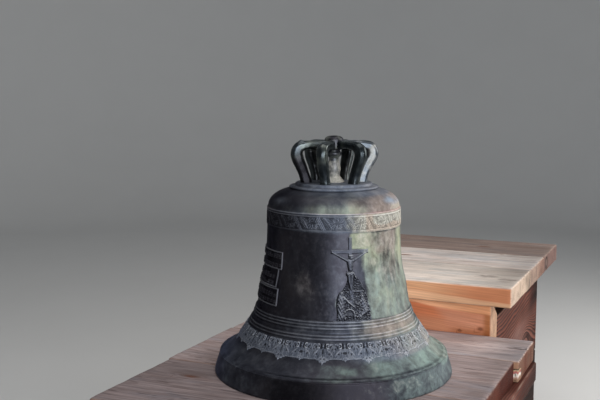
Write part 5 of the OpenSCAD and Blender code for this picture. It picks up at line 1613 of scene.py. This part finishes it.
timber("riser_board_top_sawn", "riser_board_top", 0, (10, -90), 227,
       board_paint({"y-": (0.950, 0.490, 0.265), "x+": (0.580, 0.365, 0.240), "x-": (0.44, 0.285, 0.19), "z+": (0.34, 0.20, 0.13),
                    "y+": (0.30, 0.18, 0.12), "z-": (0.36, 0.22, 0.14)},
                   {"y-": (0.620, 0.210, 0.098), "x+": (0.580, 0.365, 0.240)}, ring=0.15, ring_side={"x+": 0.08, "y-": 0.08}, wear=0.15, vary=0.07,
                   seed=7, wash=wash_riser),
       7, tilt=(0.0, -0.085), rough=0.35, shape=wane, knots=[((236, 394, 15), 7, 4.5), ((184, 394, 6), 5, 3.5), ((-60, 394, 30), 11, 7)],
       extra={1: [408, 412, 416, 420, 428, 436, 444, 452]})
ORANGE = {"y-": (0.50, 0.235, 0.130), "y+": (0.46, 0.230, 0.135), "x+": (0.40, 0.26, 0.18), "x-": (0.40, 0.26, 0.18), "z+": (0.40, 0.23, 0.14),
          "z-": (0.36, 0.22, 0.14)}
HEART = {"y-": (0.43, 0.165, 0.085), "y+": (0.40, 0.16, 0.085)}
timber("riser_board_bottom_sawn", "riser_board_bottom", 0, (10, 60), 128, board_paint(ORANGE, HEART, ring=0.18, seed=8), 8, step=16)
timber("low_front_board_top_sawn", "low_front_board_top", 0, (10, -30), 110, board_paint(ORANGE, HEART, ring=0.18, seed=9), 9, step=14,
       knots=[((110, -359, -190), 13, 10), ((-150, -359, -140), 11, 8)])
timber("low_front_board_bottom_sawn", "low_front_board_bottom", 0, (0, 40), 110, board_paint(ORANGE, HEART, ring=0.18, seed=10), 10, step=17,
       knots=[((-60, -359, -350), 14, 10)])
timber("high_back_board_top_sawn", "high_back_board_top", 0, (10, -30), 110, board_paint(ORANGE, HEART, ring=0.18, seed=11), 11, step=17,
       knots=[((60, 1065, -40), 14, 10)])
timber("high_back_board_bottom_sawn", "high_back_board_bottom", 0, (10, 30), 110, board_paint(ORANGE, HEART, ring=0.18, seed=12), 12, step=17)


# brown boards ----------------------------------------------
def wash_bearer(R, w, e, sapw, hrt, rc, gr_, dr, we):
    n = fbm(R / 1000 * np.array([40, 4, 40]), 3, 76)
    # painted shade: lighter at the front, darker and redder towards the back under the deck
    f = ((1 + 0.7 * n) * np.interp(R[:, 1], [-380, 50, 210, 390], [1.75, 1.5, 1.0, 0.55]))[:, None]
    sapw, hrt = sapw * f, hrt * f
    warm = sstep(60, 200, R[:, 1])
    sapw, hrt = scale_on(warm, sapw, (0.72, 0.44, 0.36)), scale_on(warm, hrt, (0.72, 0.44, 0.36))
    up = w[:, 1] * sstep(-66, -56, R[:, 2])
    sapw, hrt = scale_on(up, sapw, (1.25, 1.35, 1.35)), scale_on(up, hrt, (1.25, 1.35, 1.35))
    # painted shade: the packers' front ends in the gap under the deck are painted nearly black
    gap_shade = sstep(20, 40, R[:, 2]) * (1 - sstep(478, 520, R[:, 1])) * (R[:, 1] > 400)
    sapw, hrt = scale_on(gap_shade, sapw, (0.04, 0.04, 0.04)), scale_on(gap_shade, hrt, (0.04, 0.04, 0.04))
    dr = dr * (1 - gap_shade)
    return sapw, hrt, rc, gr_, dr, we


BR = {k_: (0.105, 0.045, 0.034) for k_ in SIDES}
for nm, pu, sd in (("low_bearer_left", 30, 13), ("low_bearer_right", -30, 14), ("high_packer_left", 30, 15), ("high_packer_right", -30, 16)):
    timber(nm + "_sawn", nm, 1, (pu, -60), 20,
                   board_paint(BR, ring=0.6, grey=0.2, wear=0.5, vary=0.2, seed=sd, wash=wash_bearer), sd, step=10)


def flame_bend(R):
    """Grain that runs up in a pointed flame on the right-hand side board."""
    x, y, z = R.T
    low_ = sstep(-26, -150, z)
    d = np.abs(y - 872)
    f = -150 * np.exp(-((np.sqrt(d * d + 300) - 17) / 112.0) ** 1.6) * low_
    f = f - 0.04 * (y - 480) * (1 - low_)
    return np.zeros(len(R)), f


def wash_side(R, w, e, sapw, hrt, rc, gr_, dr, we):
    x, y, z = R.T
    n = fbm(R / 1000 * np.array([30, 6, 18]), 3, 79)
    arch = np.exp(-((y - 770) / 150.0) ** 2) * sstep(-36, -84, z) * (1 - sstep(-176, -200, z))
    # painted shade: darker towards the back, most of all at the top under the deck, where it also turns redder
    dark = sstep(900, 1040, y) * sstep(-70, -30, z)
    f = 1 + 0.7 * n + 0.95 * arch - 0.72 * dark - 0.25 * sstep(880, 980, y)
    sapw, hrt = sapw * f[:, None], hrt * f[:, None]
    sapw, hrt = scale_on(arch, sapw, (0.88, 1.30, 1.55)), scale_on(arch, hrt, (0.88, 1.30, 1.55))
    sapw, hrt = scale_on(dark, sapw, (1.1, 0.6, 0.5)), scale_on(dark, hrt, (1.1, 0.6, 0.5))
    # painted shade: the low part is darker, and so is the ledge under the deck
    f = (1 - 0.80 * sstep(-172, -200, z)) * (1 - 0.9 * w[:, 5] * (y > 460))
    sapw, hrt = sapw * f[:, None], hrt * f[:, None]
    return sapw, hrt, rc, gr_, dr, we


SB = {k_: (0.150, 0.052, 0.035) for k_ in SIDES}
# painted shade: the low step's side boards are painted nearly black, for the shade under the low deck
SB_LOW_SHADED = {k_: (0.050, 0.018, 0.012) for k_ in SIDES}
sd = 17
for step_ in ("low", "high"):
    for side in ("left", "right"):
        for lev in ("top", "bottom"):
            t = (0.0, 0.0) if (step_, side, lev) == ("high", "right", "top") else (0.0, 0.05 if lev == "top" else -0.06)
            timber(f"{step_}_side_board_{side}_{lev}_sawn", f"{step_}_side_board_{side}_{lev}", 1, (-34, -160 if lev == "top" else 130),
                   20,
                   board_paint(SB if step_ == "high" else SB_LOW_SHADED, ring=1.0, grey=0.15, wear=0.3, vary=0.15, seed=sd, wash=wash_side), sd, tilt=t, ring_mm=10.5,
                   step=9 if (step_, side, lev) == ("high", "right", "top") else 17,
                   bend=flame_bend if (step_, lev) == ("high", "top") else None)
            sd += 1

# ---------------------------------------------------------------- floor, light, camera
def stage_material(name, col, rough=0.85):
    m, nt, b = new_mat(name)
    k = N(nt)
    pos = k.node("ShaderNodeTexCoord").outputs["Object"]
    n1 = k.noise(pos, 3.0, 3, 0.5)
    c = k.mix(k.range(n1, 0.3, 0.7), tuple(x * 0.985 for x in col), col)
    k.link(c, b.inputs["Base Color"])
    b.inputs["Roughness"].default_value = rough
    return m


def backdrop():
    """A pale floor that curves up behind the object on every side."""
    prof = [(0.0, 0.0), (2.5, 0.0), (5.0, 0.0)]
    n = 24
    for i in range(1, n + 1):
        a = math.pi / 2 * i / n
        prof.append((5.0 + 2.0 * math.sin(a), 2.0 * (1 - math.cos(a))))
    prof.append((7.0, 7.0))
    K2 = 96
    V, F = [(0, 0, 0)], []
    for j, (r, z) in enumerate(prof[1:]):
        for i in range(K2):
            a = i * 2 * math.pi / K2
            V.append((r * math.cos(a), r * math.sin(a), z))
    for i in range(K2):
        F.append([0, 1 + i, 1 + (i + 1) % K2])
    for j in range(len(prof) - 2):
        for i in range(K2):
            a, b_ = 1 + j * K2 + i, 1 + j * K2 + (i + 1) % K2
            F.append([a, a + K2, b_ + K2, b_])
    me = bpy.data.meshes.new("studio_floor")
    me.from_pydata(V, [], F)
    me.polygons.foreach_set("use_smooth", [True] * len(me.polygons))
    o = bpy.data.objects.new("studio_floor", me)
    scene.collection.objects.link(o)
    me.materials.append(stage_material("studio_floor_paint", (0.62, 0.62, 0.61)))
    return o


backdrop()

world = bpy.data.worlds.new("studio")
scene.world = world
world.use_nodes = True
bg = world.node_tree.nodes["Background"]
bg.inputs[0].default_value = (0.84, 0.88, 0.94, 1)
bg.inputs[1].default_value = 0.22


def area(name, loc, target, size, energy, col):
    d = bpy.data.lights.new(name, "AREA")
    d.shape = "RECTANGLE"
    d.size, d.size_y = size
    d.energy = energy
    d.color = col
    o = bpy.data.objects.new(name, d)
    scene.collection.objects.link(o)
    o.location = loc
    o.rotation_euler = (Vector(target) - Vector(loc)).to_track_quat("-Z", "Y").to_euler()
    return o


cam_yaw = math.radians(24.43)
fwd = Vector((-math.sin(cam_yaw), math.cos(cam_yaw), 0))
rgt = Vector((math.cos(cam_yaw), math.sin(cam_yaw), 0))
centre = Vector((0.0, -0.336, 0.70))


def around(right, back, up):
    """A place given from the camera's side: metres to its right, away from it, and up, from the bell."""
    return centre + rgt * right + fwd * back + Vector((0, 0, up))


area("key_right", around(2.7, 0.9, 0.9), around(0.1, 0.0, -0.05), (1.6, 1.9), 58, (1.0, 0.975, 0.94))
area("soft_top", around(0.2, -0.3, 3.0), centre, (2.6, 2.6), 46, (1.0, 0.97, 0.94))
area("soft_front", around(1.1, -3.4, 0.55), centre, (2.4, 2.0), 132, (0.90, 0.94, 1.0))

cam_d = bpy.data.cameras.new("camera")
cam = bpy.data.objects.new("camera", cam_d)
scene.collection.objects.link(cam)
scene.camera = cam
cam_d.sensor_fit = "HORIZONTAL"
cam_d.sensor_width = 36.0
cam_d.lens = 897.6 / 600 * 36.0
cam.location = (0.7320, -1.7880 - 0.336, 0.6007 + 0.450)
cam.rotation_euler = (math.radians(90 - 6.78), 0.0, cam_yaw)
cam_d.clip_start, cam_d.clip_end = 0.05, 60

scene.view_settings.view_transform = "Standard"
scene.view_settings.look = "None"
scene.view_settings.exposure = 0.0
